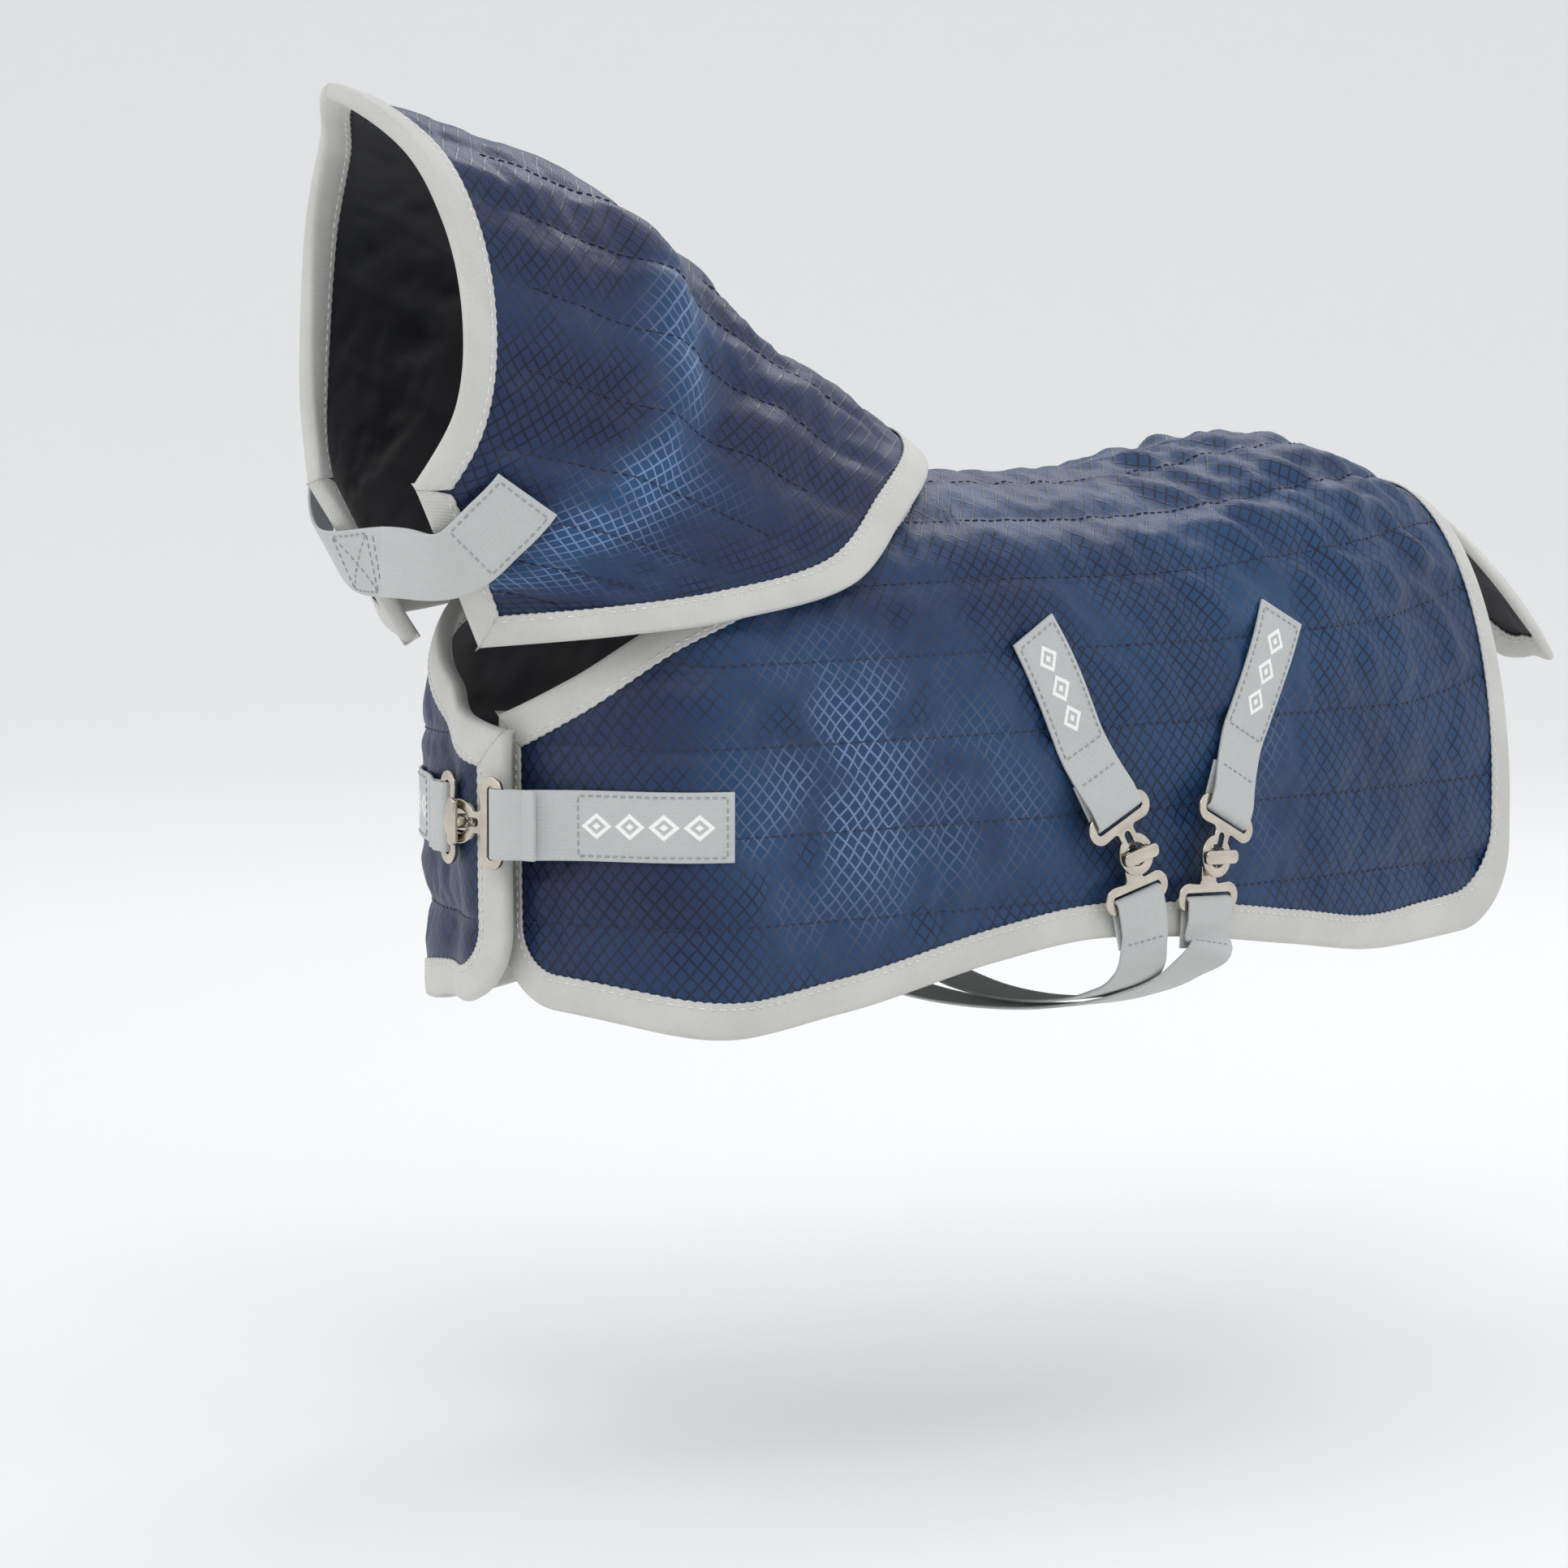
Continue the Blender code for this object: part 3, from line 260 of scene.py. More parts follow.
class RugHardwareSettings(bpy.types.PropertyGroup):
    """Finish of the plated clips."""

    edge_round: length_setting("Edge rounding", "Radius on the plates' edges", 0.00035)
    nickel: colour_setting("Nickel", "Colour of the plating", "#CFC7B9")


class RugStageSettings(bpy.types.PropertyGroup):
    """Floor, light and camera."""

    floor_height: length_setting("Floor height", "Height of the floor in the rug's frame", -0.302)
    lens: FloatProperty(name="Lens", description="Focal length in millimetres", default=137.9)
    floor: colour_setting("Floor", "Colour of the floor", "#F4F4F3")


# ---------------------------------------------------------------- shape helpers
def unit(vectors):
    return vectors / np.linalg.norm(vectors, axis=-1, keepdims=True)


def spline(stations, at):
    """A smooth curve through (position, value...) stations, straight beyond its ends; at may be an array."""
    table = np.array(stations, dtype=float)
    where, values = table[:, 0], table[:, 1:]
    slope = np.gradient(values, where, axis=0)
    at = np.asarray(at, dtype=float)
    k = np.clip(np.searchsorted(where, at, side="right") - 1, 0, len(where) - 2)
    span = where[k + 1] - where[k]
    full = (at - where[k]) / span
    s = np.clip(full, 0, 1)[..., None]
    beyond = ((full - np.clip(full, 0, 1)) * span)[..., None]
    span = span[..., None]
    result = (
        (1 + 2 * s) * (1 - s) ** 2 * values[k]
        + s * (1 - s) ** 2 * span * slope[k]
        + s * s * (3 - 2 * s) * values[k + 1]
        + s * s * (s - 1) * span * slope[k + 1]
    )
    result = result + beyond * np.where(beyond < 0, slope[0], slope[-1])
    return result[..., 0] if result.shape[-1] == 1 else result


def ease(share):
    """A smooth step from 0 to 1."""
    share = np.clip(share, 0.0, 1.0)
    return share * share * (3 - 2 * share)


def hump(value, centre, width):
    """A smooth bump of height 1."""
    return np.exp(-(((value - centre) / width) ** 2))


def normal_of(surface, p, q, step=1.5):
    """Outward normals of surface(p, q) on the off side, where p runs rearward and q upward."""
    along = surface(p + step, q) - surface(p - step, q)
    up = surface(p, q + step) - surface(p, q - step)
    return unit(np.cross(up, along))


def distances(path):
    """Distance along a path to each of its points."""
    return np.concatenate([[0], np.cumsum(np.linalg.norm(np.diff(path, axis=0), axis=1))])


def mirrored(points, side):
    return points * np.array([1.0, side, 1.0])


# ---------------------------------------------------------------- rug surface, off side
def spine_height(x):
    stack = STACK + PLY_GAP + TAPE_DROP + TAPE_THICK
    rise = [
        (0.0, -14.0), (0.15, -5.5), (0.27, -1.0), (0.37, 2.0), (0.50, 0.0), (0.60, 0.8),
        (0.69, 6.5), (0.78, 11.2), (0.84, 9.3), (0.90, 3.2), (0.96, -5.0), (1.0, -11.5),
    ]
    return stack + spline(rise, x / RUG_LENGTH)


def half_width(x):
    barrel, rear = BARREL_HALF_WIDTH, REAR_HALF_WIDTH
    between = barrel - rear
    widths = [
        (0.12, barrel - 2), (0.33, barrel), (0.60, barrel - 1.5),
        (0.80, rear + 0.60 * between), (0.90, rear + 0.28 * between), (1.0, rear),
    ]
    return spline(widths, x / RUG_LENGTH)


def crown_height(x):
    return BARREL_HALF_WIDTH * spline([(0.0, 0.9), (0.62, 0.9), (0.8, 1.06), (1.0, 1.35)], x / RUG_LENGTH)


def hem_height(x):
    shape = [
        (0.0, -8.0), (0.06, -15.0), (0.20, -11.0), (0.36, 1.0), (0.457, 5.5), (0.55, 4.0),
        (0.70, -3.0), (0.80, -8.0), (0.90, -7.0), (1.0, -4.0),
    ]
    return -RUG_DROP + spline(shape, x / RUG_LENGTH)


def plan_table():
    """Plan outline at the widest line, by distance round it from the chest centre."""
    turn = np.linspace(0, math.pi / 2, 400)
    power = 2 / NOSE_ROUNDNESS
    nose_x = NOSE_LENGTH * (1 - np.cos(turn) ** power)
    nose_y = half_width(NOSE_LENGTH) * np.sin(turn) ** power
    side_x = np.arange(NOSE_LENGTH + 1, RUG_LENGTH + 20, 1.0)
    x = np.concatenate([nose_x, side_x])
    y = np.concatenate([nose_y, half_width(side_x)])
    run = np.concatenate([[0], np.cumsum(np.hypot(np.diff(x), np.diff(y)))])
    return run, x, y


PLAN_RUN, PLAN_X, PLAN_Y = plan_table()


def run_at(x):
    return np.interp(x, PLAN_X, PLAN_RUN)


def plan(run):
    x = np.interp(np.abs(run), PLAN_RUN, PLAN_X)
    y = np.interp(np.abs(run), PLAN_RUN, PLAN_Y)
    return x, np.copysign(y, run)


def crown_arc(run):
    """Length of cloth from the widest line up to the spine."""
    x, y = plan(run)
    return 0.8 * (np.hypot(np.maximum(x, NOSE_LENGTH) - x, y) + crown_height(x))


def widest(run):
    x, _ = plan(run)
    return spine_height(x) - crown_height(x)


def rug_base(run, rise):
    """Points of the rug's outer surface: run round the plan, rise up the cloth from the widest line."""
    run, rise = np.broadcast_arrays(np.asarray(run, dtype=float), np.asarray(rise, dtype=float))
    x, y = plan(run)
    inward = np.stack([np.maximum(x, NOSE_LENGTH) - x, -y], axis=-1)
    toward = inward / np.maximum(np.linalg.norm(inward, axis=-1, keepdims=True), 1e-6)
    foot = np.stack([x, y], axis=-1)
    bulge = FLANK_BULGE * spline([(0.0, 0.6), (0.5, 1.0), (0.8, 0.5), (1.0, 0.0)], x / RUG_LENGTH)
    turn = np.clip(rise / crown_arc(run), 0, 1.05) * math.pi / 2
    low = foot + toward * (WALL_TUCK * (rise / RUG_DROP) ** 2)[..., None]
    high = foot + inward * (1 - np.cos(turn))[..., None] - toward * (bulge * np.sin(2 * turn) ** 2)[..., None]
    below = rise <= 0
    flat = np.where(below[..., None], low, high)
    height = widest(run) + np.where(below, rise, crown_height(x) * np.sin(turn))
    return np.stack([flat[..., 0] - RUG_X0, flat[..., 1], height], axis=-1)


def lap(run, side):
    """The off panel's chest end lies over the near panel."""
    start = 2.0 - NEAR_FRONT_EDGE
    return 0.0 * run if side < 0 else LAP * ease((LAP_RUNOUT - run) / (LAP_RUNOUT - start))


def rug_point(run, rise, out=0.0, side=1):
    run = np.asarray(run, dtype=float)
    lifted = np.asarray(out + lap(run, side))[..., None]
    return mirrored(rug_base(run, rise) + normal_of(rug_base, run, rise) * lifted, side)


def rug_normal(run, rise, side=1):
    return mirrored(normal_of(rug_base, run, rise), side)


REAR_RUN = float(run_at(RUG_LENGTH))
WITHERS_RUN = float(run_at(NECK_OPENING))
SHOULDER_RUN = float(run_at(NOSE_LENGTH))


def neckline(run):
    """Height of the neckline above the widest line; it reaches the spine at the withers."""
    run = np.asarray(run, dtype=float)
    nose = spline([(-0.2, 0.06), (0.0, 0.10), (0.35, 0.22), (0.7, 0.38), (1.0, 0.45)], run / SHOULDER_RUN)
    share = np.clip((run - SHOULDER_RUN) / (WITHERS_RUN - SHOULDER_RUN), 0, 1)
    shoulder = 0.45 + 0.10 * share + 0.45 * (1 - np.sqrt(1 - share * share))
    return crown_arc(run) * np.where(run >= WITHERS_RUN, 1.0, np.where(run <= SHOULDER_RUN, nose, shoulder))


def hem(run):
    return hem_height(plan(run)[0]) - widest(run)


def front_edge(side):
    return NEAR_FRONT_EDGE if side < 0 else -CHEST_OVERLAP


def bottom_edge(run, side):
    """The hem with its rounded corners."""
    def corner(distance, radius):
        inside = np.clip(radius - distance, 0, radius)
        return radius - np.sqrt(radius * radius - inside * inside)
    run = np.asarray(run, dtype=float)
    lift = corner(run - front_edge(side), FRONT_CORNER) + corner(REAR_RUN - run, REAR_CORNER)
    return hem(run) + lift


# ---------------------------------------------------------------- neck cover surface, off side
def on_rug(x, y, out):
    """Point out from the rug's shell where its half-section at x has the half-width y."""
    run = run_at(x + RUG_X0)
    rises = np.linspace(0, float(crown_arc(run)), 60)
    widths = rug_base(run, rises)[:, 1]
    return rug_point(run, float(np.interp(-y, -widths, rises)), out)


def face_edge():
    poll_x, poll_z = POLL
    wide = FACE_HALF_WIDTH
    return [
        (0.0, poll_x, 0.0, poll_z), (0.18, -247.0, 0.50 * wide, 114.0), (0.38, -242.0, 0.85 * wide, 90.0),
        (0.60, -240.0, wide, 58.0), (0.80, -242.0, 0.95 * wide, 31.0), (1.0, -248.0, 0.66 * wide, 6.0),
    ]


def cover_foot():
    """Bottom edge of the neck cover: over the rug at the withers and shoulder, free across the throat."""
    back = NECK_OPENING + COVER_BEHIND_NECKLINE - RUG_X0
    wide = BARREL_HALF_WIDTH
    seats = [
        (0.0, back, 0.0), (0.2, back - 17, 0.46 * wide), (0.4, back - 48, 0.74 * wide), (0.56, back - 80, 0.88 * wide),
    ]
    edge = [(share, *on_rug(x, y, COVER_LIFT)) for share, x, y in seats]
    return edge + [
        (0.72, -160.0, 0.96 * wide, -33.0), (0.86, -196.0, 0.80 * wide, -38.0), (1.0, -219.0, 0.26 * wide, -43.0),
    ]


def mirrored_start(stations):
    """Stations with one before the first, mirrored, so that the curve crosses the centre line square."""
    share, x, y, z = stations[1]
    return [(-share, x, -y, z)] + stations


FACE_EDGE = mirrored_start(face_edge())
COVER_FOOT = mirrored_start(cover_foot())


def cover_base(down, round_):
    """Points of the cover's outer surface; down 0 at the face to 100 at the foot, round_ 0 throat to 100 crest."""
    down, round_ = np.broadcast_arrays(np.asarray(down, dtype=float), np.asarray(round_, dtype=float))
    s = (down / 100)[..., None]
    t = 1 - round_ / 100
    point = spline(FACE_EDGE, t) * (1 - s) + spline(COVER_FOOT, t) * s
    arch = np.sin(math.pi * np.clip(down / 100, 0, 1)) * np.cos(math.pi * t / 2) ** 2
    return point + (CREST_RISE * arch)[..., None] * np.array([0.0, 0.0, 1.0])


def cover_sink(down, round_):
    """How far the neck cover's cloth sags behind the poll and settles on the withers."""
    top = ease((round_ - 35) / 50)
    return -(7.0 * hump(down, 72, 16) * top + 2.2 * ease((down - 60) / 40) * ease((round_ - 10) / 40))


def cover_point(down, round_, out=0.0, side=1):
    down, round_ = np.asarray(down, dtype=float), np.asarray(round_, dtype=float)
    lifted = (np.asarray(out, dtype=float) + cover_sink(down, round_))[..., None]
    return mirrored(cover_base(down, round_) + normal_of(cover_base, down, round_) * lifted, side)


def cover_normal(down, round_, side=1):
    return mirrored(normal_of(cover_base, down, round_), side)


# ---------------------------------------------------------------- quilting and wrinkles
def ripple(u, v, angle, wave, seed):
    """Irregular waves across a direction, from -1 to 1, in cloth millimetres."""
    rng = np.random.default_rng(seed)
    c, s = math.cos(math.radians(angle)), math.sin(math.radians(angle))
    a, b = u * c + v * s, -u * s + v * c
    total = np.zeros_like(a)
    for _ in range(4):
        length = wave * rng.uniform(0.75, 1.35)
        drift = wave * rng.uniform(3.0, 5.5)
        phase, sway = rng.uniform(0, 2 * math.pi, 2)
        bend = 0.35 * wave * np.sin(2 * math.pi * b / drift + sway)
        total += np.sin(2 * math.pi * (a + bend) / length + phase)
    return total / 4


def quilt_profile(level, spacing):
    """1 on a quilting line, 0 midway, with a sharp valley at the line."""
    share = np.mod(level / spacing, 1.0)
    return np.abs(2 * share - 1) ** 2.6


def puckers(u, level, spacing, seed):
    """Short gathers that run out from each quilting line."""
    near_line = np.abs(2 * np.mod(level / spacing, 1.0) - 1)
    waves = ripple(u, level * 0.35, 0, 9.0, seed) + 0.6 * ripple(u, level * 0.35, 8, 5.2, seed + 1)
    return waves * ease((near_line - 0.25) / 0.6) * (1 - 0.55 * near_line ** 8)


def relax_cloth(points, held):
    """Cloth simulation of a grid of points, held where held is 1; returns how far each point moved.

    The cloth is grown a little past its quilting lines, so that it gathers and puffs between them.
    """
    rows, columns = points.shape[:2]
    mesh = bpy.data.meshes.new("relaxed_cloth")
    mesh.from_pydata((points.reshape(-1, 3) * MM).tolist(), [], grid_faces(rows, columns).tolist())
    item = bpy.data.objects.new("relaxed_cloth", mesh)
    bpy.context.scene.collection.objects.link(item)
    group = item.vertex_groups.new(name="held")
    flat = held.reshape(-1)
    for weight in np.unique(np.round(flat, 2)):
        group.add(np.nonzero(np.abs(flat - weight) < 0.006)[0].tolist(), float(weight), "REPLACE")
    cloth = item.modifiers.new("relax", "CLOTH")
    physics = cloth.settings
    physics.quality = 6
    physics.mass = 0.25
    physics.tension_stiffness = physics.compression_stiffness = 12
    physics.shear_stiffness = 4
    physics.bending_stiffness = 0.25
    physics.tension_damping = physics.compression_damping = physics.shear_damping = 12
    physics.vertex_group_mass = "held"
    physics.pin_stiffness = 1.0
    physics.shrink_min = -CLOTH_GROWTH
    physics.use_pressure = True
    physics.uniform_pressure_force = SIM_PRESSURE
    physics.effector_weights.gravity = 0.0
    cloth.collision_settings.use_collision = False
    cloth.point_cache.frame_end = SIM_FRAMES
    for number in range(1, SIM_FRAMES + 1):
        bpy.context.scene.frame_set(number)
    seen = item.evaluated_get(bpy.context.evaluated_depsgraph_get())
    moved = np.empty(len(mesh.vertices) * 3)
    seen.data.vertices.foreach_get("co", moved)
    bpy.context.scene.frame_set(1)
    bpy.data.objects.remove(item)
    bpy.data.meshes.remove(mesh)
    return moved.reshape(rows, columns, 3) / MM - points


def finer(field, rows, columns):
    """A grid of values resampled to another grid size."""
    old_rows, old_columns = field.shape[:2]
    r = np.linspace(0, old_rows - 1, rows)
    c = np.linspace(0, old_columns - 1, columns)
    r0, c0 = np.minimum(r.astype(int), old_rows - 2), np.minimum(c.astype(int), old_columns - 2)
    fr, fc = ease(r - r0)[:, None], ease(c - c0)
    top = field[r0][:, c0] * (1 - fc) + field[r0][:, c0 + 1] * fc
    low = field[r0 + 1][:, c0] * (1 - fc) + field[r0 + 1][:, c0 + 1] * fc
    return top * (1 - fr) + low * fr


def gathered(points, normals, held, side, size):
    """Relaxed cloth of a panel, as an outward offset on a grid of size; both sides are simulated alike."""
    order = slice(None, None, -1 if side > 0 else 1)
    moved = relax_cloth(points[:, order], held[:, order])[:, order]
    return finer(np.clip((moved * normals).sum(axis=-1), -SIM_CAP, SIM_CAP), *size)


def held_share(level, spacing, bound, seam):
    """1 where the cloth is stitched down, for the simulation."""
    share = np.mod(level / spacing, 1.0)
    line = np.minimum(share, 1 - share) * spacing
    return ((line < 2.6) | (bound < 13) | (seam < 6)).astype(float)


# ---------------------------------------------------------------- mesh makers
def grid_faces(rows, columns, start=0):
    spots = np.arange(rows * columns).reshape(rows, columns) + start
    corners = [spots[:-1, :-1], spots[:-1, 1:], spots[1:, 1:], spots[1:, :-1]]
    return np.stack([corner.reshape(-1) for corner in corners], axis=1)


def make_piece(name, points, faces, look, cloth=None, smooth_angle=None):
    """A mesh object from points in millimetres; cloth gives each point's place on its material; on the shell its third
    column is a painted sheen on the threads, and a fourth column gives painted light and shade.
    """
    mesh = bpy.data.meshes.new(name)
    mesh.from_pydata((np.asarray(points) * MM).tolist(), [], faces)
    if cloth is not None:
        cloth = np.asarray(cloth, dtype=np.float32)
        place = mesh.attributes.new("cloth_mm", "FLOAT_VECTOR", "POINT")
        place.data.foreach_set("vector", cloth[:, :3].reshape(-1))
        if cloth.shape[1] > 3:
            tone = mesh.attributes.new("cloth_tone", "FLOAT", "POINT")
            tone.data.foreach_set("value", cloth[:, 3].copy())
    mesh.shade_smooth()
    if smooth_angle:
        mesh.set_sharp_from_angle(angle=math.radians(smooth_angle))
    mesh.materials.append(look)
    item = bpy.data.objects.new(name, mesh)
    bpy.context.scene.collection.objects.link(item)
    return item


def signed_volume(points, faces):
    """Six times the volume inside the faces, negative where they face inward."""
    total = 0.0
    for face in faces:
        a = points[face[0]]
        for k in range(1, len(face) - 1):
            total += float(np.dot(a, np.cross(points[face[k]], points[face[k + 1]])))
    return total


def closed_sheet(name, outer, inner, cloth, look):
    """A thin closed sheet between two grids of points, in a named finish."""
    rows, columns = outer.shape[:2]
    count = rows * columns
    spots = np.arange(count).reshape(rows, columns)
    rim = np.concatenate([spots[0, :-1], spots[:-1, -1], spots[-1, :0:-1], spots[:0:-1, 0]])
    after = np.roll(rim, -1)
    faces = grid_faces(rows, columns).tolist()
    faces += grid_faces(rows, columns, count)[:, ::-1].tolist()
    faces += np.stack([rim, rim + count, after + count, after], axis=1).tolist()
    points = np.concatenate([outer.reshape(-1, 3), inner.reshape(-1, 3)])
    facing = np.cross(outer[0, 1] - outer[0, 0], outer[1, 0] - outer[0, 0])
    if float(facing @ (outer[0, 0] - inner[0, 0])) < 0:
        faces = [face[::-1] for face in faces]
    spread = cloth.reshape(count, -1)
    return make_piece(name, points, faces, look_named(look), np.concatenate([spread, spread]))


def tube(name, rings, cloth, look, smooth_angle=None):
    """A closed solid through rings (rings x points x 3), with flat ends, in a named finish."""
    count, around = rings.shape[:2]
    spots = np.arange(count * around).reshape(count, around)
    a, b = spots[:-1], spots[1:]
    faces = np.stack([a, np.roll(a, -1, 1), np.roll(b, -1, 1), b], axis=-1).reshape(-1, 4).tolist()
    faces += [spots[0, ::-1].tolist(), spots[-1].tolist()]
    points = rings.reshape(-1, 3)
    if signed_volume(points, faces) < 0:
        faces = [face[::-1] for face in faces]
    return make_piece(name, points, faces, look_named(look), cloth.reshape(-1, 3), smooth_angle)


def joined(name, items):
    """The items as one object."""
    with bpy.context.temp_override(
        active_object=items[0], object=items[0], selected_objects=items, selected_editable_objects=items
    ):
        bpy.ops.object.join()
    items[0].name = name
    items[0].data.name = name
    return items[0]


def stitches(name, rows, thread):
    """Rows of thread, each row a (points, normals) pair; every stitch is a small pointed capsule on the cloth."""
    spacing, radius = THREADS[thread]
    points, faces, base = [], [], 0
    angles = np.arange(STITCH_SIDES) * 2 * math.pi / STITCH_SIDES
    profile = [(-0.36, 0.85), (0.0, 1.0), (0.36, 0.85)]
    for path, normals in rows:
        path, normals = np.asarray(path), np.asarray(normals)
        length = distances(path)
        number = max(1, int(length[-1] / spacing))
        step = length[-1] / number
        for k in range(number):
            ends = [length[-1] * (k + 0.5) / number + step * STITCH_SHARE * t for t in (-0.5, 0.0, 0.5)]
            a, m, b = (np.array([np.interp(e, length, path[:, i]) for i in range(3)]) for e in ends)
            n = unit(np.array([np.interp(ends[1], length, normals[:, i]) for i in range(3)]))
            along = b - a
            across = unit(np.cross(n, along))
            up = unit(np.cross(along, across))
            points.append(a - up * radius * 0.7)
            for t, size in profile:
                centre = m + along * t + up * radius * (0.35 if t == 0 else 0.0)
                points += [centre + (across * math.cos(g) + up * math.sin(g)) * radius * size for g in angles]
            points.append(b - up * radius * 0.7)
            first, last = base + 1, base + 1 + 2 * STITCH_SIDES
            turn = [(g, (g + 1) % STITCH_SIDES) for g in range(STITCH_SIDES)]
            for low in (first, first + STITCH_SIDES):
                high = low + STITCH_SIDES
                faces += [(low + g, low + h, high + h, high + g) for g, h in turn]
            tip = last + STITCH_SIDES
            for g, h in turn:
                faces += [(base, first + h, first + g), (tip, last + g, last + h)]
            base = tip + 1
    points = np.array(points)
    if signed_volume(points, faces[:STITCH_SIDES * 4]) < 0:
        faces = [face[::-1] for face in faces]
    return make_piece(name, points, faces, look_named(thread))


# ---------------------------------------------------------------- materials
def set_inputs(tree, made, inputs):
    """Sets a node's inputs to values, or links them from sockets."""
    for key, value in inputs.items():
        if isinstance(value, bpy.types.NodeSocket):
            tree.links.new(value, made.inputs[key])
        else:
            made.inputs[key].default_value = value


def add_node(tree, kind, inputs=None, out=0, **settings):
    """Adds a node with its settings and its inputs, and returns one of its outputs."""
    made = tree.nodes.new("ShaderNode" + kind)
    for key, value in settings.items():
        setattr(made, key, value)
    set_inputs(tree, made, inputs or {})
    return made.outputs[out]


PLUS, MINUS, TIMES, OVER = ({"operation": name} for name in ("ADD", "SUBTRACT", "MULTIPLY", "DIVIDE"))
LARGER, ZIGZAG, SIZE = ({"operation": name} for name in ("MAXIMUM", "PINGPONG", "ABSOLUTE"))
COLOURS = {"data_type": "RGBA"}
SMOOTH = {"interpolation_type": "SMOOTHSTEP"}
CLOTH = {"attribute_name": "cloth_mm"}


def rgba(colour, shade=1.0):
    return (*(c * shade for c in colour), 1.0)


def new_look(name, finish, *colours):
    """A material from a finish, which draws its nodes and gives the shader's inputs."""
    look = bpy.data.materials.new(name)
    look.use_nodes = True
    tree = look.node_tree
    set_inputs(tree, tree.nodes["Principled BSDF"], finish(partial(add_node, tree), *colours))
    return look


def lines_along(node, place, angle, spacing_mm, half_width, soft):
    """1 on lines across the angle, spacing_mm apart, 0 between; widths are shares of the spacing."""
    c, s = math.cos(math.radians(angle)), math.sin(math.radians(angle))
    share = node("VectorMath", {0: place, 1: (c / spacing_mm, s / spacing_mm, 0)}, "Value", operation="DOT_PRODUCT")
    away = node("Math", {0: share, 1: 0.5}, **ZIGZAG)
    ends = {"From Min": half_width, "From Max": half_width + soft, "To Min": 1.0, "To Max": 0.0}
    return node("MapRange", {"Value": away, **ends}, **SMOOTH)


def nylon_ripstop(node, cloth):
    """Calendered nylon ripstop: satin, with a grid of thicker threads, dark or with a painted sheen by turns, on a
    ground of painted light and shade.
    """
    place = node("Attribute", out="Vector", **CLOTH)
    sway = node("TexNoise", {"Vector": place, "Scale": 1 / 9.0, "Detail": 1.0}, "Color")
    nudge = node("VectorMath", {0: sway, 1: (0.55, 0.55, 0.0), 2: place}, operation="MULTIPLY_ADD")
    warp, weft = (lines_along(node, nudge, angle, cloth.cell / MM, 0.06, 0.06) for angle in (44, -40))
    grid = node("Math", {0: warp, 1: weft}, **LARGER)
    # Painted light and shade: each point's share mixes the ground from its painted-shade copy (0) to its lit colour
    # (1).
    tone = node("Attribute", out="Fac", attribute_name="cloth_tone")
    ground = node("Mix", {0: tone, 6: rgba(cloth.navy_deep), 7: rgba(cloth.navy)}, 2, **COLOURS)
    # Painted sheen on the grid threads: the place's third channel marks where they are painted pale, broken up by
    # noise.
    catch = node("SeparateXYZ", {0: place}, "Z")
    uneven = node("TexNoise", {"Vector": place, "Scale": 1 / 26.0, "Detail": 1.5, "Roughness": 0.5})
    uneven = node("MapRange", {"Value": uneven, "From Min": 0.25, "From Max": 0.6}, **SMOOTH)
    patch = node("Math", {0: catch, 1: uneven}, **TIMES)
    threads = node("Mix", {0: patch, 6: rgba(cloth.grid_dark), 7: rgba(cloth.grid_light)}, 2, **COLOURS)
    seen = node("Math", {0: grid, 1: 0.8}, **TIMES)
    weave = {"Vector": place, "Scale": 0.9, "Distortion": 1.2, "Detail": 1.0}
    fine = node("TexWave", weave, "Fac", wave_type="BANDS", bands_direction="DIAGONAL")
    height = node("Math", {0: grid, 1: node("Math", {0: fine, 1: 0.25}, **TIMES)}, **PLUS)
    return {
        "Base Color": node("Mix", {0: seen, 6: ground, 7: threads}, 2, **COLOURS),
        "Normal": node("Bump", {"Height": height, "Distance": 0.14 * MM, "Strength": 0.8}),
        "Roughness": node("Math", {0: 0.46, 1: node("Math", {0: grid, 1: 0.12}, **TIMES)}, **MINUS),
        "IOR": 1.53, "Specular IOR Level": 0.3,
        "Sheen Weight": 0.06, "Sheen Roughness": 0.4, "Sheen Tint": rgba(linear("#7FA0E0")),
    }


def nylon_taffeta(node, cloth):
    """Lining taffeta: near-black, plain weave, a soft low gloss. The weave is drawn 1 mm apart so that it shows."""
    place = node("Attribute", out="Vector", **CLOTH)
    warp, weft = (lines_along(node, place, angle, 1.0, 0.1, 0.3) for angle in (0, 90))
    weave = node("Math", {0: warp, 1: weft}, **TIMES)
    shade = node("TexNoise", {"Vector": place, "Scale": 1 / 22.0, "Detail": 3.0, "Roughness": 0.5})
    shade = node("MapRange", {"Value": shade, "From Min": 0.3, "From Max": 0.7}, **SMOOTH)
    return {
        "Base Color": node("Mix", {0: shade, 6: rgba(cloth.lining, 0.6), 7: rgba(cloth.lining)}, 2, **COLOURS),
        "Normal": node("Bump", {"Height": weave, "Distance": 0.06 * MM, "Strength": 0.6}),
        "Roughness": 0.55, "IOR": 1.53, "Sheen Weight": 0.15,
    }


def bonded_wadding(node, cloth):
    """Bonded polyester fibre: matt, white, uneven."""
    place = node("Attribute", out="Vector", **CLOTH)
    fibre = node("TexNoise", {"Vector": place, "Scale": 1 / 1.6, "Detail": 5.0, "Roughness": 0.7})
    return {
        "Base Color": node("Mix", {0: fibre, 6: rgba(cloth.wadding, 0.86), 7: rgba(cloth.wadding)}, 2, **COLOURS),
        "Normal": node("Bump", {"Height": fibre, "Distance": 0.6 * MM, "Strength": 1.0}),
        "Roughness": 0.95, "IOR": 1.57,
    }


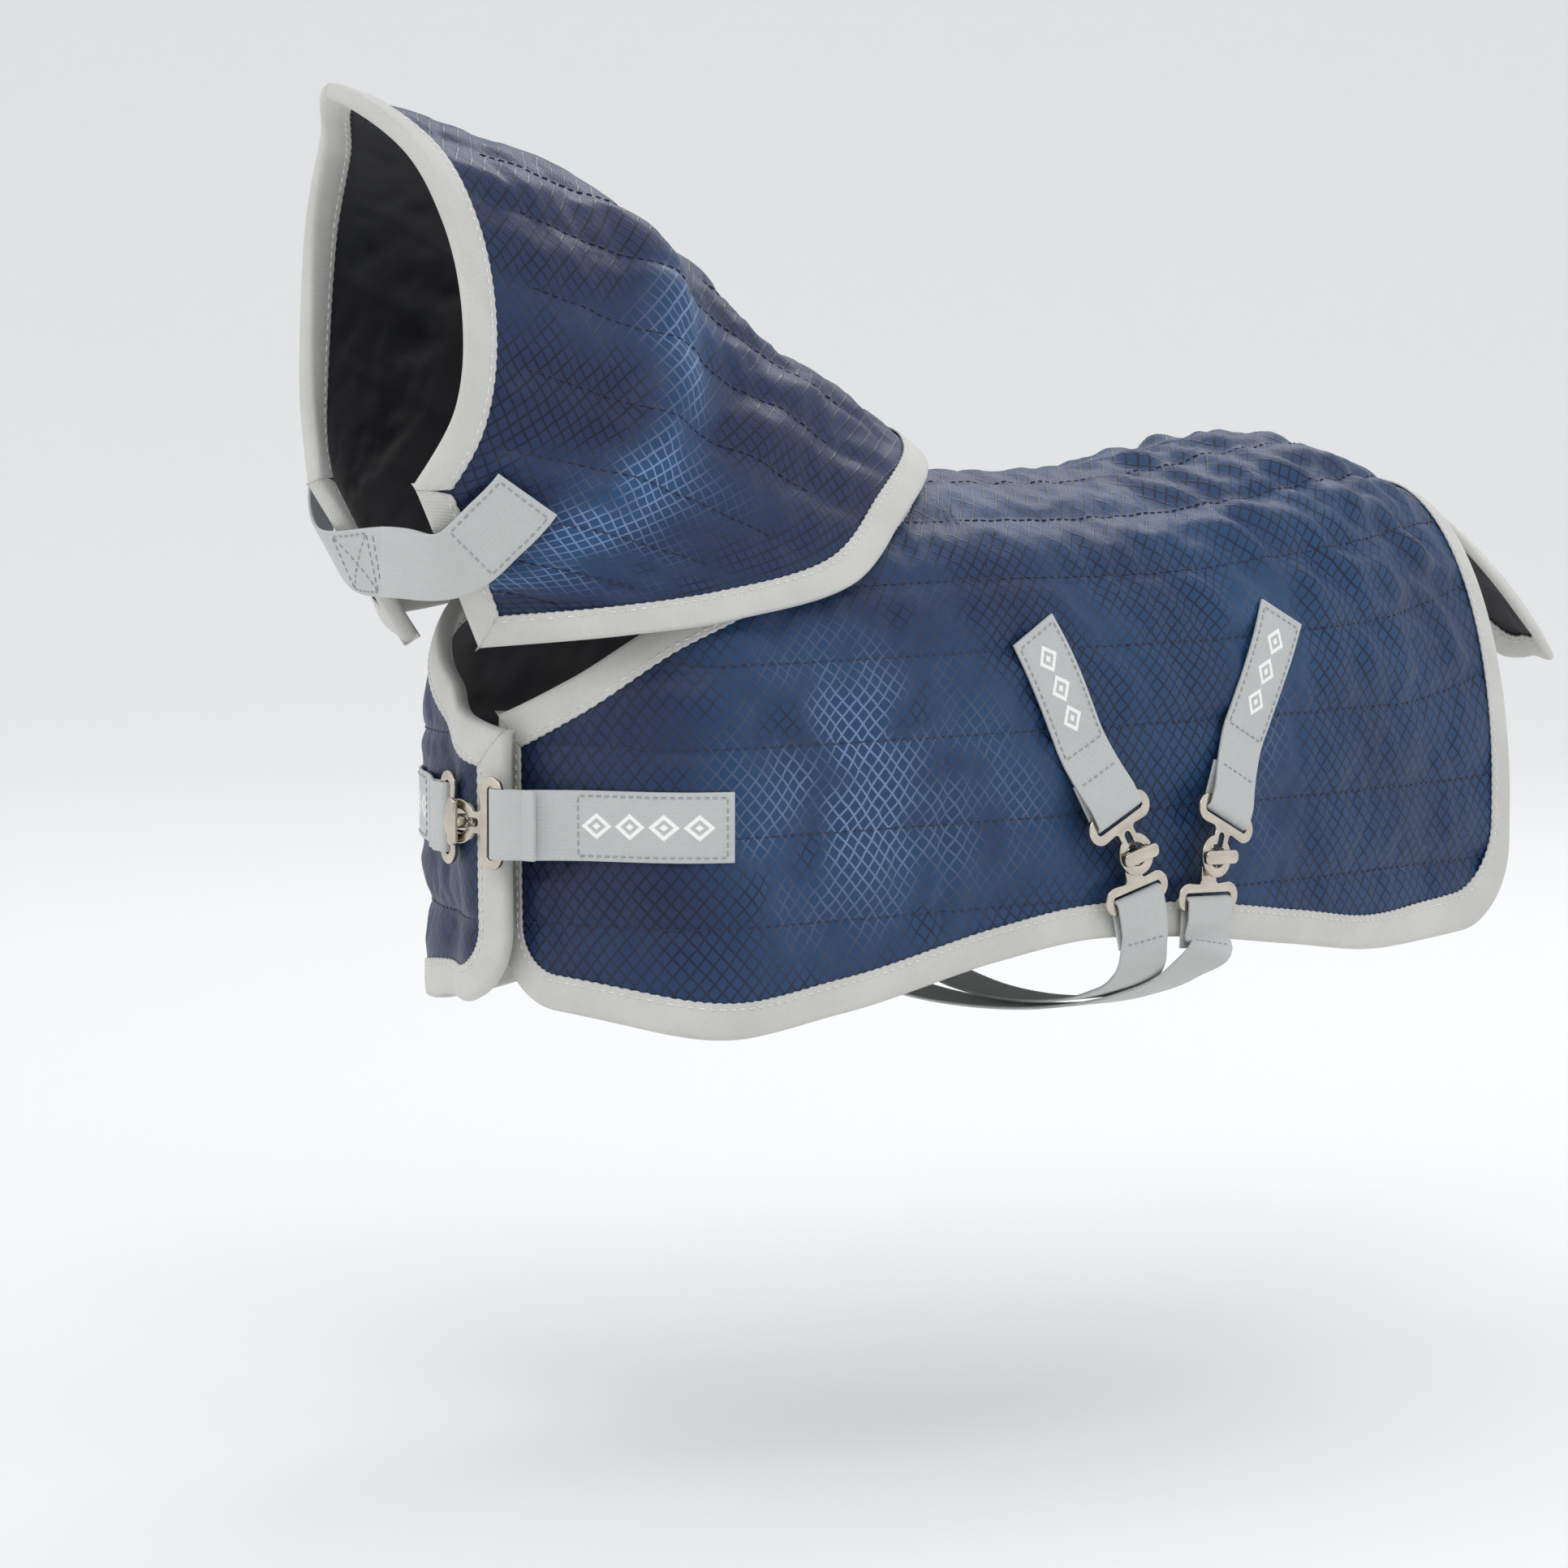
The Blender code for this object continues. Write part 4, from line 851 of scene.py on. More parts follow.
def polyester_tape(node, trim):
    """Folded polyester binding tape: matt, with a fine twill across it, drawn 0.9 mm apart so that it shows."""
    place = node("Attribute", out="Vector", **CLOTH)
    twill = lines_along(node, place, 38, 0.9, 0.08, 0.34)
    worn = node("TexNoise", {"Vector": place, "Scale": 1 / 26.0, "Detail": 3.0, "Roughness": 0.5})
    worn = node("MapRange", {"Value": worn, "From Min": 0.3, "From Max": 0.7}, **SMOOTH)
    ground = node("Mix", {0: worn, 6: rgba(trim.binding, 0.90), 7: rgba(trim.binding)}, 2, **COLOURS)
    share = node("Math", {0: twill, 1: 0.10}, **TIMES)
    return {
        "Base Color": node("Mix", {0: share, 6: ground, 7: rgba(trim.binding, 0.7)}, 2, **COLOURS),
        "Normal": node("Bump", {"Height": twill, "Distance": 0.10 * MM, "Strength": 0.7}),
        "Roughness": 0.72, "IOR": 1.57, "Sheen Weight": 0.2,
    }


def polyester_webbing(node, trim):
    """Polyester webbing: lengthwise ribs crossed by the weft, and a chain of lozenges woven in white."""
    place = node("Attribute", out="Vector", **CLOTH)
    ribs = lines_along(node, place, 90, 1.35, 0.10, 0.38)
    weft = lines_along(node, place, 0, 0.8, 0.10, 0.36)
    along, across, shown = node("SeparateXYZ", {0: place}).node.outputs
    along = node("Math", {0: node("Math", {0: along, 1: LOZENGE_PITCH}, **OVER), 1: 0.5}, **ZIGZAG)
    across = node("Math", {0: node("Math", {0: across, 1: 0.0}, **SIZE), 1: LOZENGE_HALF}, **OVER)
    reach = node("Math", {0: node("Math", {0: along, 1: 2.0}, **TIMES), 1: across}, **PLUS)
    inner, outer, heart = (
        node("MapRange", {"Value": reach, "From Min": low, "From Max": low + 0.08}, **SMOOTH)
        for low in (0.52, 0.86, 0.20)
    )
    ring = node("Math", {0: inner, 1: outer}, **MINUS)
    seed = node("Math", {0: 1.0, 1: heart}, **MINUS)
    motif = node("Math", {0: node("Math", {0: ring, 1: seed}, **PLUS), 1: shown}, **TIMES)
    weave = node("Math", {0: ribs, 1: weft}, **LARGER)
    rows = node("Math", {0: weave, 1: 0.16}, **TIMES)
    ground = node("Mix", {0: rows, 6: rgba(trim.webbing), 7: rgba(trim.webbing, 0.62)}, 2, **COLOURS)
    pale = node("TexNoise", {"Vector": place, "Scale": 1 / 14.0, "Detail": 3.0, "Roughness": 0.5})
    pale = node("Math", {0: pale, 1: 0.12}, **TIMES)
    worn = node("Mix", {0: pale, 6: ground, 7: rgba(trim.motif)}, 2, **COLOURS)
    height = node("Math", {0: weave, 1: node("Math", {0: motif, 1: -0.8}, **TIMES)}, **PLUS)
    return {
        "Base Color": node("Mix", {0: motif, 6: worn, 7: rgba(trim.motif)}, 2, **COLOURS),
        "Normal": node("Bump", {"Height": height, "Distance": -0.14 * MM, "Strength": 0.8}),
        "Roughness": 0.78, "IOR": 1.57, "Sheen Weight": 0.25,
    }


def nickel_plate(node, hardware):
    """Nickel plate on pressed steel: polished, with faint uneven haze and fine scratches."""
    place = node("TexCoord", out="Object")
    haze = node("TexNoise", {"Vector": place, "Scale": 1 / (6.0 * MM), "Detail": 4.0, "Roughness": 0.6})
    scratch = node("TexNoise", {"Vector": place, "Scale": 420.0, "Detail": 2.0, "Distortion": 2.5})
    share = node("MapRange", {"Value": haze, "From Min": 0.35, "From Max": 0.75}, **SMOOTH)
    gloss = {"From Min": 0.3, "From Max": 0.8, "To Min": 0.09, "To Max": 0.2}
    return {
        "Base Color": node("Mix", {0: share, 6: rgba(hardware.nickel), 7: rgba(hardware.nickel, 0.82)}, 2, **COLOURS),
        "Normal": node("Bump", {"Height": scratch, "Distance": 0.01 * MM, "Strength": 0.25}),
        "Roughness": node("MapRange", {"Value": haze, **gloss}), "Metallic": 1.0,
    }


def loop_tape(node, trim):
    """Hook-and-loop tape: a matt felt of small nylon loops."""
    place = node("Attribute", out="Vector", **CLOTH)
    fuzz = node("TexNoise", {"Vector": place, "Scale": 1 / 0.7, "Detail": 4.0, "Roughness": 0.7})
    return {
        "Base Color": node("Mix", {0: fuzz, 6: rgba(trim.loop_tape, 0.7), 7: rgba(trim.loop_tape)}, 2, **COLOURS),
        "Normal": node("Bump", {"Height": fuzz, "Distance": 0.5 * MM, "Strength": 1.0}),
        "Roughness": 0.95, "Sheen Weight": 0.4,
    }


def polyester_thread(node, colour):
    """Twisted polyester sewing thread: a soft gloss along the twist, drawn coarse enough to show."""
    place = node("TexCoord", out="Object")
    twist = node("TexWave", {"Vector": place, "Scale": 320.0, "Distortion": 0.5}, "Fac", bands_direction="DIAGONAL")
    return {
        "Base Color": node("Mix", {0: twist, 6: rgba(colour), 7: rgba(colour, 0.78)}, 2, **COLOURS),
        "Normal": node("Bump", {"Height": twist, "Distance": 0.08 * MM, "Strength": 0.5}),
        "Roughness": 0.5, "Sheen Weight": 0.2,
    }


# Each finish with its settings, and the record's slot that it stands for
LOOKS = {
    "nylon_ripstop": (nylon_ripstop, "rug_cloth", "ripstop_shell"),
    "nylon_taffeta": (nylon_taffeta, "rug_cloth", "nylon_lining"),
    "bonded_wadding": (bonded_wadding, "rug_cloth", "polyester_wadding"),
    "polyester_tape": (polyester_tape, "rug_trim", "edge_binding"),
    "polyester_webbing": (polyester_webbing, "rug_trim", "woven_webbing"),
    "nickel_plate": (nickel_plate, "rug_hardware", "polished_nickel"),
    "loop_tape": (loop_tape, "rug_trim", "hook_and_loop"),
    "pale_thread": (lambda node, trim: polyester_thread(node, trim.thread), "rug_trim", "woven_webbing"),
    "grey_thread": (lambda node, trim: polyester_thread(node, trim.web_thread), "rug_trim", "woven_webbing"),
    "navy_thread": (lambda node, trim: polyester_thread(node, trim.quilt_thread), "rug_trim", "ripstop_shell"),
}


def look_named(name):
    """A finish by name, made once."""
    finish, settings, _ = LOOKS[name]
    return bpy.data.materials.get(name) or new_look(name, finish, getattr(bpy.context.scene, settings))


def slot_of(item):
    return LOOKS[item.data.materials[0].name][2]


def settle(item, body, *nodes):
    """Puts a finished piece on its body, in place of the frame's nodes."""
    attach(item, body)
    if nodes:
        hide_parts(*nodes)
    slot_of(item)
    return item


# ---------------------------------------------------------------- rug body
def rug_grid(side, step):
    """Runs and rises of a side panel's grid, rows from the hem up."""
    start, end = front_edge(side), REAR_RUN
    turn = np.linspace(0, math.pi / 2, max(4, int(14 * CLOTH_STEP / step)))
    front = start + FRONT_CORNER * (1 - np.cos(turn))
    rear = (end - REAR_CORNER * (1 - np.cos(turn)))[::-1]
    middle = np.linspace(front[-1], rear[0], int((rear[0] - front[-1]) / step) + 1)
    runs = np.concatenate([front, middle[1:-1], rear])
    shares = np.linspace(0, 1, int(235 / step) + 1)[:, None]
    low, high = bottom_edge(runs, side), neckline(runs)
    return np.broadcast_to(runs, (len(shares), len(runs))), low + (high - low) * shares


def edge_distances(runs, rises, side):
    """Distance of each point from the bound edges, and from the spine seam."""
    low = rises - bottom_edge(runs, side)
    high = neckline(runs) - rises
    bound = np.minimum(low, np.minimum(runs - front_edge(side), REAR_RUN - runs))
    seam = np.where(runs >= WITHERS_RUN - 2, high, 60.0)
    return np.minimum(bound, np.where(runs < WITHERS_RUN - 2, high, 60.0)), seam


def rug_relief(runs, rises, side, cloth):
    """How far the quilted shell lies out from the smooth surface."""
    level = widest(runs) + rises - QUILT_START
    spacing = cloth.quilt_spacing / MM
    bound, seam = edge_distances(runs, rises, side)
    x = plan(runs)[0] - RUG_X0
    z = widest(runs) + rises
    seed = 11 if side < 0 else 29
    quilt = -cloth.quilt_depth / MM * quilt_profile(level, spacing)
    croup = ease((x - 0) / 70) * ease((210 - x) / 50) * ease((z + 95) / 60)
    loins = ease((x + 60) / 60) * ease((150 - x) / 60) * ease((z + 75) / 40)
    waves = 2.1 * croup * ripple(runs, z, 38, 21, seed) + 1.0 * croup * ripple(runs, z, 55, 12, seed + 3)
    waves = waves + 0.9 * loins * ripple(runs, z, 24, 17, seed + 5)
    flank = 0.55 * ripple(runs, z, 80, 62, seed + 7) + 0.35 * ripple(runs, z, 15, 40, seed + 8)
    chest = 0.9 * ease((-110 - x) / 60) * ripple(runs, z, 60, 30, seed + 9)
    gathers = 0.34 * puckers(runs, level, spacing, seed + 20)
    fold = -1.4 * hump(x, CREASE_X + 0.03 * (z + 100), 2.6) * ease((-72 - z) / 10)
    seam_dip = -1.1 * hump(seam, 0.0, 2.6)
    flat = ease((bound - 7.0) / 11.0)
    return (quilt + waves + flank + chest + gathers + fold) * flat * ease(seam / 9) + seam_dip


def near_line(x, z, start, end, half):
    """1 within half of the line from start to end, falling to 0 beside it."""
    start, end = np.array(start), np.array(end)
    along = end - start
    share = np.clip(((x - start[0]) * along[0] + (z - start[1]) * along[1]) / (along @ along), 0, 1)
    away = np.hypot(x - start[0] - share * along[0], z - start[1] - share * along[1])
    return 1 - ease((away - half) / 6)


def under_webbing(runs, rises, side):
    """1 where the sewn webbing holds the shell flat."""
    x, z = plan(runs)[0] - RUG_X0, widest(runs) + rises
    held = near_line(runs, z, (20.0, CHEST_STRAP_Z), (90.0, CHEST_STRAP_Z), 13.0)
    for size in SURCINGLES.values():
        top = (size["top_x"] if side < 0 else size["far_top_x"], SURCINGLE_TOP_Z)
        low = (size["eye_x"], size["eye_z"]) if side < 0 else (size["far_hem_x"], -RUG_DROP)
        held = np.maximum(held, near_line(x, z, top, low, 13.0))
    return held


def rug_light(runs, rises, side):
    """Painted light for the shell, both from 0 to 1: a painted sheen on the ripstop's threads, and the painted light
    and shade of its ground.
    """
    x, z = plan(runs)[0] - RUG_X0, widest(runs) + rises
    seed = 83 if side < 0 else 97
    drift = ripple(runs, z, 50, 60, seed)
    # Painted sheen: strongest low on the front flank, with smaller patches further back and some random drift.
    catch = 1.1 * hump(x, -118, 40) * hump(z, -88, 44) + 0.45 * hump(x, 62, 16) * hump(z, -75, 60)
    catch = catch + 0.5 * hump(x, -60, 26) * hump(z, -105, 18) + 0.25 * drift * hump(x, -70, 90)
    # Painted light and shade: darker towards the chest, lighter high on the croup, darker high on the shoulder, with
    # some random drift.
    tone = 0.62 + 0.2 * drift - 0.5 * ease((-158 - x) / 30) + 0.35 * hump(x, 80, 70) * hump(z, -30, 34)
    return np.clip(catch, 0, 1), np.clip(tone - 0.35 * hump(z, -26, 16) * hump(x, -70, 60), 0, 1)


def cover_light(down, from_crest, side):
    """The same two painted shares for the neck cover: a painted highlight streak down its fold ridge and a painted
    lighter patch low on the cheek, on a ground painted mostly in shade, with some random drift.
    """
    seed = 89 if side < 0 else 103
    drift = ripple(down * 1.6, from_crest, 60, 55, seed)
    streak = hump(down, 50 + 0.10 * (from_crest - 60), 7) * ease((from_crest - 30) / 30)
    low = hump(down, 60, 22) * hump(from_crest, 165, 30)
    catch = 0.9 * streak + 0.8 * low + 0.2 * drift
    return np.clip(catch, 0, 1), np.clip(0.16 + 0.15 * drift + 0.85 * streak + 0.35 * low, 0, 1)


def rug_gather(side, cloth, size):
    """How far the simulation moves a side panel's cloth out."""
    runs, rises = rug_grid(side, SIM_STEP)
    points = rug_point(runs, rises, rug_relief(runs, rises, side, cloth), side)
    level = widest(runs) + rises - QUILT_START
    held = held_share(level, cloth.quilt_spacing / MM, *edge_distances(runs, rises, side))
    return gathered(points, rug_normal(runs, rises, side), held, side, size)


def quilted_layers(row, tag, body, at, relief, lining_top, place, cut):
    """Shell, wadding and lining of a panel, from the outside in; at gives the panel's points for an offset."""
    shell_low = relief - SHELL_THICK
    fill_low = np.minimum(lining_top + 0.1, shell_low - 0.5)
    made = []
    for layer, node, look, top, low in (
        ("outer", "shell", "nylon_ripstop", relief, shell_low),
        ("fill", "wadding", "bonded_wadding", shell_low - 0.15, fill_low),
        ("inner", "lining", "nylon_taffeta", lining_top, lining_top - LINING_THICK),
    ):
        made.append(closed_sheet(f"{row}_{layer}_{tag}", at(top), at(low), place, look))
        settle(made[-1], body, f"{row}_{node}_{tag}")
    area = cut_area(at(0.0))


def quilt_stitches(name, body, lines, inside, fields, at, normal_at):
    """Stitches along quilting lines; fields are along, across, level and relief, with the level rising by rows."""
    along, across, level, relief = fields
    rows = []
    for line in lines:
        spots = [
            (along[0, k], np.interp(line, level[:, k], across[:, k]), np.interp(line, level[:, k], relief[:, k]))
            for k in np.nonzero(inside)[0] if level[0, k] + QUILT_END < line < level[-1, k] - QUILT_END
        ]
        if len(spots) > 8:
            first, second, out = np.array(spots).T
            rows.append((at(first, second, out + 0.1), normal_at(first, second)))
    settle(stitches(name, rows, "navy_thread"), body)


def cut_area(points):
    """Flat area of a grid of points, in square metres."""
    a = points[1:, 1:] - points[:-1, :-1]
    b = points[1:, :-1] - points[:-1, 1:]
    return float(np.linalg.norm(np.cross(a, b), axis=-1).sum() / 2) * MM * MM


def build_rug_panel(tag, side, cloth):
    """Shell, wadding and lining of one side of the rug, and its quilting stitches."""
    at, normal_at = partial(rug_point, side=side), partial(rug_normal, side=side)
    spacing = cloth.quilt_spacing / MM
    runs, rises = rug_grid(side, CLOTH_STEP)
    bound, seam = edge_distances(runs, rises, side)
    flat = ease((bound - 8) / 10) * ease(seam / 8)
    relief = rug_relief(runs, rises, side, cloth) + rug_gather(side, cloth, runs.shape) * flat
    relief = relief - np.maximum(relief - 0.15, 0) * under_webbing(runs, rises, side)
    # The place on the cloth, with the painted sheen and the painted light and shade as its last two channels.
    place = np.stack([runs, widest(runs) + rises, *rug_light(runs, rises, side)], axis=-1)
    level = place[..., 1] - QUILT_START
    pulled = quilt_profile(level, spacing) * flat
    lining_top = -STACK + LINING_THICK + 0.5 * pulled + 0.35 * relief * flat * (1 - pulled)
    quilted_layers(
        "rug", tag, "rug", partial(at, runs, rises), relief, lining_top, place, RUG_CUT[tag]
    )
    lines = np.arange(math.ceil(level.min() / spacing), int(level.max() / spacing) + 1) * spacing
    inside = (runs[0] > front_edge(side) + QUILT_END) & (runs[0] < REAR_RUN - QUILT_END)
    fields = (runs, rises, level, relief)
    quilt_stitches(f"rug_quilt_stitches_{tag}", "rug", lines, inside, fields, at, normal_at)


class RUG_OT_body_panels(bpy.types.Operator):
    """Makes the rug's quilted side panels: shell, wadding, lining and quilting stitches"""

    bl_idname = "turnout_rug.body_panels"
    bl_label = "Body panels"

    def execute(self, context):
        for tag, side in SIDES:
            build_rug_panel(tag, side, context.scene.rug_cloth)
        return {"FINISHED"}


# ---------------------------------------------------------------- neck cover
def cover_grid(step):
    """A cover half's grid, rows from the throat up: down, round_, and distances from the face and the crest in mm."""
    columns = int(190 / step) + 1
    rows = int(215 / step) + 1
    down, round_ = np.meshgrid(np.linspace(0, 100, columns), np.linspace(0, 100, rows))
    points = cover_base(down, round_)
    steps = np.linalg.norm(np.diff(points, axis=0), axis=-1)
    from_crest = np.vstack([np.cumsum(steps[::-1], axis=0)[::-1], np.zeros(columns)])
    along = np.linalg.norm(np.diff(points, axis=1), axis=-1)
    from_face = np.hstack([np.zeros((rows, 1)), np.cumsum(along, axis=1)])
    return down, round_, from_face, from_crest


def cover_edges(from_face, from_crest):
    """Distance of each point from the bound edges."""
    to_foot = from_face[:, -1:] - from_face
    to_throat = from_crest[:1] - from_crest
    return np.minimum(np.minimum(from_face, to_foot), to_throat)


def cover_relief(grids, side, cloth):
    """How far the neck cover's quilted shell lies out from the smooth surface."""
    down, _, from_face, from_crest = grids
    spacing = cloth.hood_spacing / MM
    level = from_crest - COVER_QUILT_START
    bound = cover_edges(from_face, from_crest)
    seed = 41 if side < 0 else 67
    quilt = -0.8 * cloth.quilt_depth / MM * quilt_profile(level, spacing)
    crest = ease((46 - from_crest) / 46)
    dents = -5.5 * hump(down, 49, 8) - 4.5 * hump(down, 72, 7) + 2.5 * hump(down, 60, 6) + 2.0 * hump(down, 36, 9)
    cheek = ease(from_crest / 40) * ease((170 - from_crest) / 50)
    ridge_line = 47 + 0.10 * (from_crest - 60)
    ridge = 4.2 * hump(down, ridge_line, 5.5) - 2.6 * hump(down, ridge_line + 12, 7)
    ridge = ridge - 2.0 * hump(down, ridge_line - 13, 8)
    second = 2.4 * hump(down, 78 - 0.12 * (from_crest - 40), 5.0)
    waves = 0.9 * ripple(from_face, from_crest, 65, 26, seed) + 0.55 * ripple(from_face, from_crest, 20, 15, seed + 2)
    waves = waves * (0.25 + 0.75 * ease(from_crest / 40))
    gathers = 0.30 * puckers(from_face, level, spacing, seed + 20)
    seam = -0.9 * hump(from_crest, 0.0, 2.4)
    flat = ease((bound - 7) / 12)
    mirror = 1.0 if side < 0 else 0.85
    shape = quilt * ease(from_crest / 9) + dents * crest + mirror * cheek * (ridge + second) + waves + gathers
    return shape * flat + seam


def cover_gather(side, cloth, size):
    """How far the simulation moves a cover half's cloth out."""
    down, round_, from_face, from_crest = grids = cover_grid(SIM_STEP)
    points = cover_point(down, round_, cover_relief(grids, side, cloth), side)
    spacing = cloth.hood_spacing / MM
    held = held_share(from_crest - COVER_QUILT_START, spacing, cover_edges(from_face, from_crest), from_crest)
    return gathered(points, cover_normal(down, round_, side), held, side, size)


def build_cover_half(tag, side, cloth):
    """Shell, wadding and lining of one half of the neck cover, and its quilting stitches."""
    at, normal_at = partial(cover_point, side=side), partial(cover_normal, side=side)
    spacing = cloth.hood_spacing / MM
    down, round_, from_face, from_crest = grids = cover_grid(CLOTH_STEP)
    flat = ease((cover_edges(from_face, from_crest) - 8) / 10) * ease(from_crest / 8)
    relief = cover_relief(grids, side, cloth) + cover_gather(side, cloth, down.shape) * flat
    under_tab = ease((28 - round_) / 6) * ease((down - 24) / 6) * ease((58 - down) / 6)
    relief = relief - np.maximum(relief - 0.1, 0) * under_tab
    # The place on the cloth, with the painted sheen and the painted light and shade as its last two channels.
    place = np.stack([from_face + 300, from_crest, *cover_light(down, from_crest, side)], axis=-1)
    pulled = quilt_profile(from_crest - COVER_QUILT_START, spacing) * flat
    lining_top = -STACK + LINING_THICK + 0.4 * pulled + 0.9 * np.minimum(relief, 0) * flat * (1 - pulled)
    lining_top = np.minimum(lining_top, relief - SHELL_THICK - LINING_ROOM)
    quilted_layers(
        "neck", tag, "neck_cover", partial(at, down, round_), relief, lining_top, place, COVER_CUT
    )
    lines = COVER_QUILT_START + np.arange(QUILT_LINES_ON_COVER) * spacing
    inside = (from_face[0] > QUILT_END) & (from_face[0] < from_face[0, -1] - QUILT_END)
    fields = (down, round_[::-1], from_crest[::-1], relief[::-1])
    quilt_stitches(f"neck_quilt_stitches_{tag}", "neck_cover", lines, inside, fields, at, normal_at)


class RUG_OT_neck_cover(bpy.types.Operator):
    """Makes the neck cover's quilted halves"""

    bl_idname = "turnout_rug.neck_cover"
    bl_label = "Neck cover"

    def execute(self, context):
        for tag, side in SIDES:
            build_cover_half(tag, side, context.scene.rug_cloth)
        return {"FINISHED"}


# ---------------------------------------------------------------- edge binding
def tape_profile(stack, width):
    """Section of a tape folded over the cloth's edge: (reach in from the edge, height out, distance round it)."""
    top, low = TAPE_CLEAR, -stack - TAPE_CLEAR
    skin = TAPE_SKIN
    outside = [(width, top + 0.5 * skin), (width - 0.5, top + skin), (width - 1.9, top + 0.62 * skin)]
    outside += [(width - 3.2, top + 1.05 * skin), (width * 0.4, top + 1.2 * skin), (0.6, top + skin)]
    middle, half = (top + low) / 2, (top - low) / 2 + skin
    outside += [(-1.7 * math.cos(a), middle + half * math.sin(a)) for a in np.radians([62, 36, 12, -12, -36, -62])]
    below = [(r, 2 * middle - o) for r, o in outside[:6]][::-1]
    inside = [(width, low), (width * 0.5, low), (0.4, low), (-0.9, middle)]
    inside += [(0.4, top), (width * 0.5, top), (width, top)]
    return outside + below + inside


def sweep_tape(name, at, path, inward, limit, stack, width, metric=None):
    """A folded tape along the path; limit is how far in the tape may reach at each point, for mitred ends."""
    profile = np.array(tape_profile(stack, width))
    length = distances(at(*path.T, 0.0))
    scallop = 0.22 * np.cos(2 * math.pi * length / STITCH_PITCH)
    rings, places = [], []
    around = distances(profile)
    scale = np.ones((len(path), 2)) if metric is None else metric
    for k, (reach, out) in enumerate(profile):
        edge = 1.0 if reach >= width - 0.6 else 0.0
        seam = 1.0 if abs(reach - width + 1.9) < 0.2 else 0.0
        wanted = reach + edge * scallop
        short = np.minimum(wanted, limit + 0.01 * wanted)
        spot = path + inward * short[:, None] / scale
        rings.append(at(spot[:, 0], spot[:, 1], out + 0.12 * seam * np.cos(2 * math.pi * length / STITCH_PITCH)))
        places.append(np.stack([length, around[k] + 0 * length, 0 * length], axis=-1))
    return tube(name, np.stack(rings, axis=1), np.stack(places, axis=1), "polyester_tape")


def evenly(path):
    """A path in cloth coordinates resampled at even steps."""
    length = distances(path)
    where = np.linspace(0, length[-1], int(length[-1] / PATH_STEP) + 2)
    return np.stack([np.interp(where, length, path[:, k]) for k in range(2)], axis=1)


def left_of(path):
    """Unit vectors to the left of a path in cloth coordinates."""
    along = unit(np.gradient(path, axis=0))
    return np.stack([-along[:, 1], along[:, 0]], axis=1)


def edge_stitches(path, inward, at, normal_at, stack, width, metric=None):
    """The binding's outer and inner stitch rows."""
    scale = 1.0 if metric is None else metric
    spot = path + inward * (width - STITCH_INSET) / scale
    length = distances(at(*path.T, 0.0))
    keep = (length > STITCH_FREE) & (length < length[-1] - STITCH_FREE)
    spot = spot[keep]
    normals = normal_at(*spot.T)
    outer = at(*spot.T, TAPE_CLEAR + TAPE_SKIN * 0.62 + 0.1)
    inner = at(*spot.T, -stack - TAPE_CLEAR - TAPE_SKIN * 0.62 - 0.1)
    return [(outer, normals), (inner, -normals)]


def bind_rug(tag, side):
    """The binding of one side of the rug: one tape along the neckline, one round front, hem and rear, mitred."""
    at, normal_at = partial(rug_point, side=side), partial(rug_normal, side=side)
    front = front_edge(side)
    runs = WITHERS_RUN - (WITHERS_RUN - front) * ease(np.linspace(0, 1, 400))
    neck = evenly(np.stack([runs, neckline(runs)], axis=1))
    turn = np.linspace(0, math.pi / 2, 30)
    start = front + FRONT_CORNER * (1 - np.cos(turn))
    end = REAR_RUN - REAR_CORNER * (1 - np.cos(turn))
    middle = np.linspace(start[-1], end[-1], 400)
    hem_runs = np.concatenate([start, middle[1:-1], end[::-1]])
    rest = [(front, float(neckline(front)))]
    rest += list(zip(hem_runs, bottom_edge(hem_runs, side)))
    rest += [(REAR_RUN, float(crown_arc(REAR_RUN)))]
    rest = evenly(np.array(rest))
    corner = neck[-1]
    arrive, leave = unit(neck[-1] - neck[-6]), unit(rest[5] - rest[0])
    half = math.tan((math.pi - math.acos(float(arrive @ leave))) / 2)
    extra = np.arange(1, 3)[:, None] * MITRE_OVERHANG / 2
    neck_path = np.concatenate([neck, corner + arrive * extra])
    rest_path = np.concatenate([corner - leave * extra[::-1], rest])
    near_corner = 30
    neck_limit, rest_limit = np.full(len(neck_path), NO_LIMIT), np.full(len(rest_path), NO_LIMIT)
    neck_limit[-near_corner:] = (neck_path[-near_corner:] - corner) @ -arrive * half
    rest_limit[:near_corner] = (rest_path[:near_corner] - corner) @ leave * half
    neck_in, rest_in = left_of(neck_path), left_of(rest_path)
    parts = [
        sweep_tape("neckline", at, neck_path, neck_in, neck_limit, STACK, BINDING_WIDTH),
        sweep_tape("hem", at, rest_path, rest_in, rest_limit, STACK, BINDING_WIDTH),
    ]
    settle(joined(f"rug_edge_{tag}", parts), "rug", f"rug_binding_{tag}")
    rows = edge_stitches(neck_path, neck_in, at, normal_at, STACK, BINDING_WIDTH)
    rows += edge_stitches(rest_path, rest_in, at, normal_at, STACK, BINDING_WIDTH)
    settle(stitches(f"rug_edge_stitches_{tag}", rows, "pale_thread"), "rug")


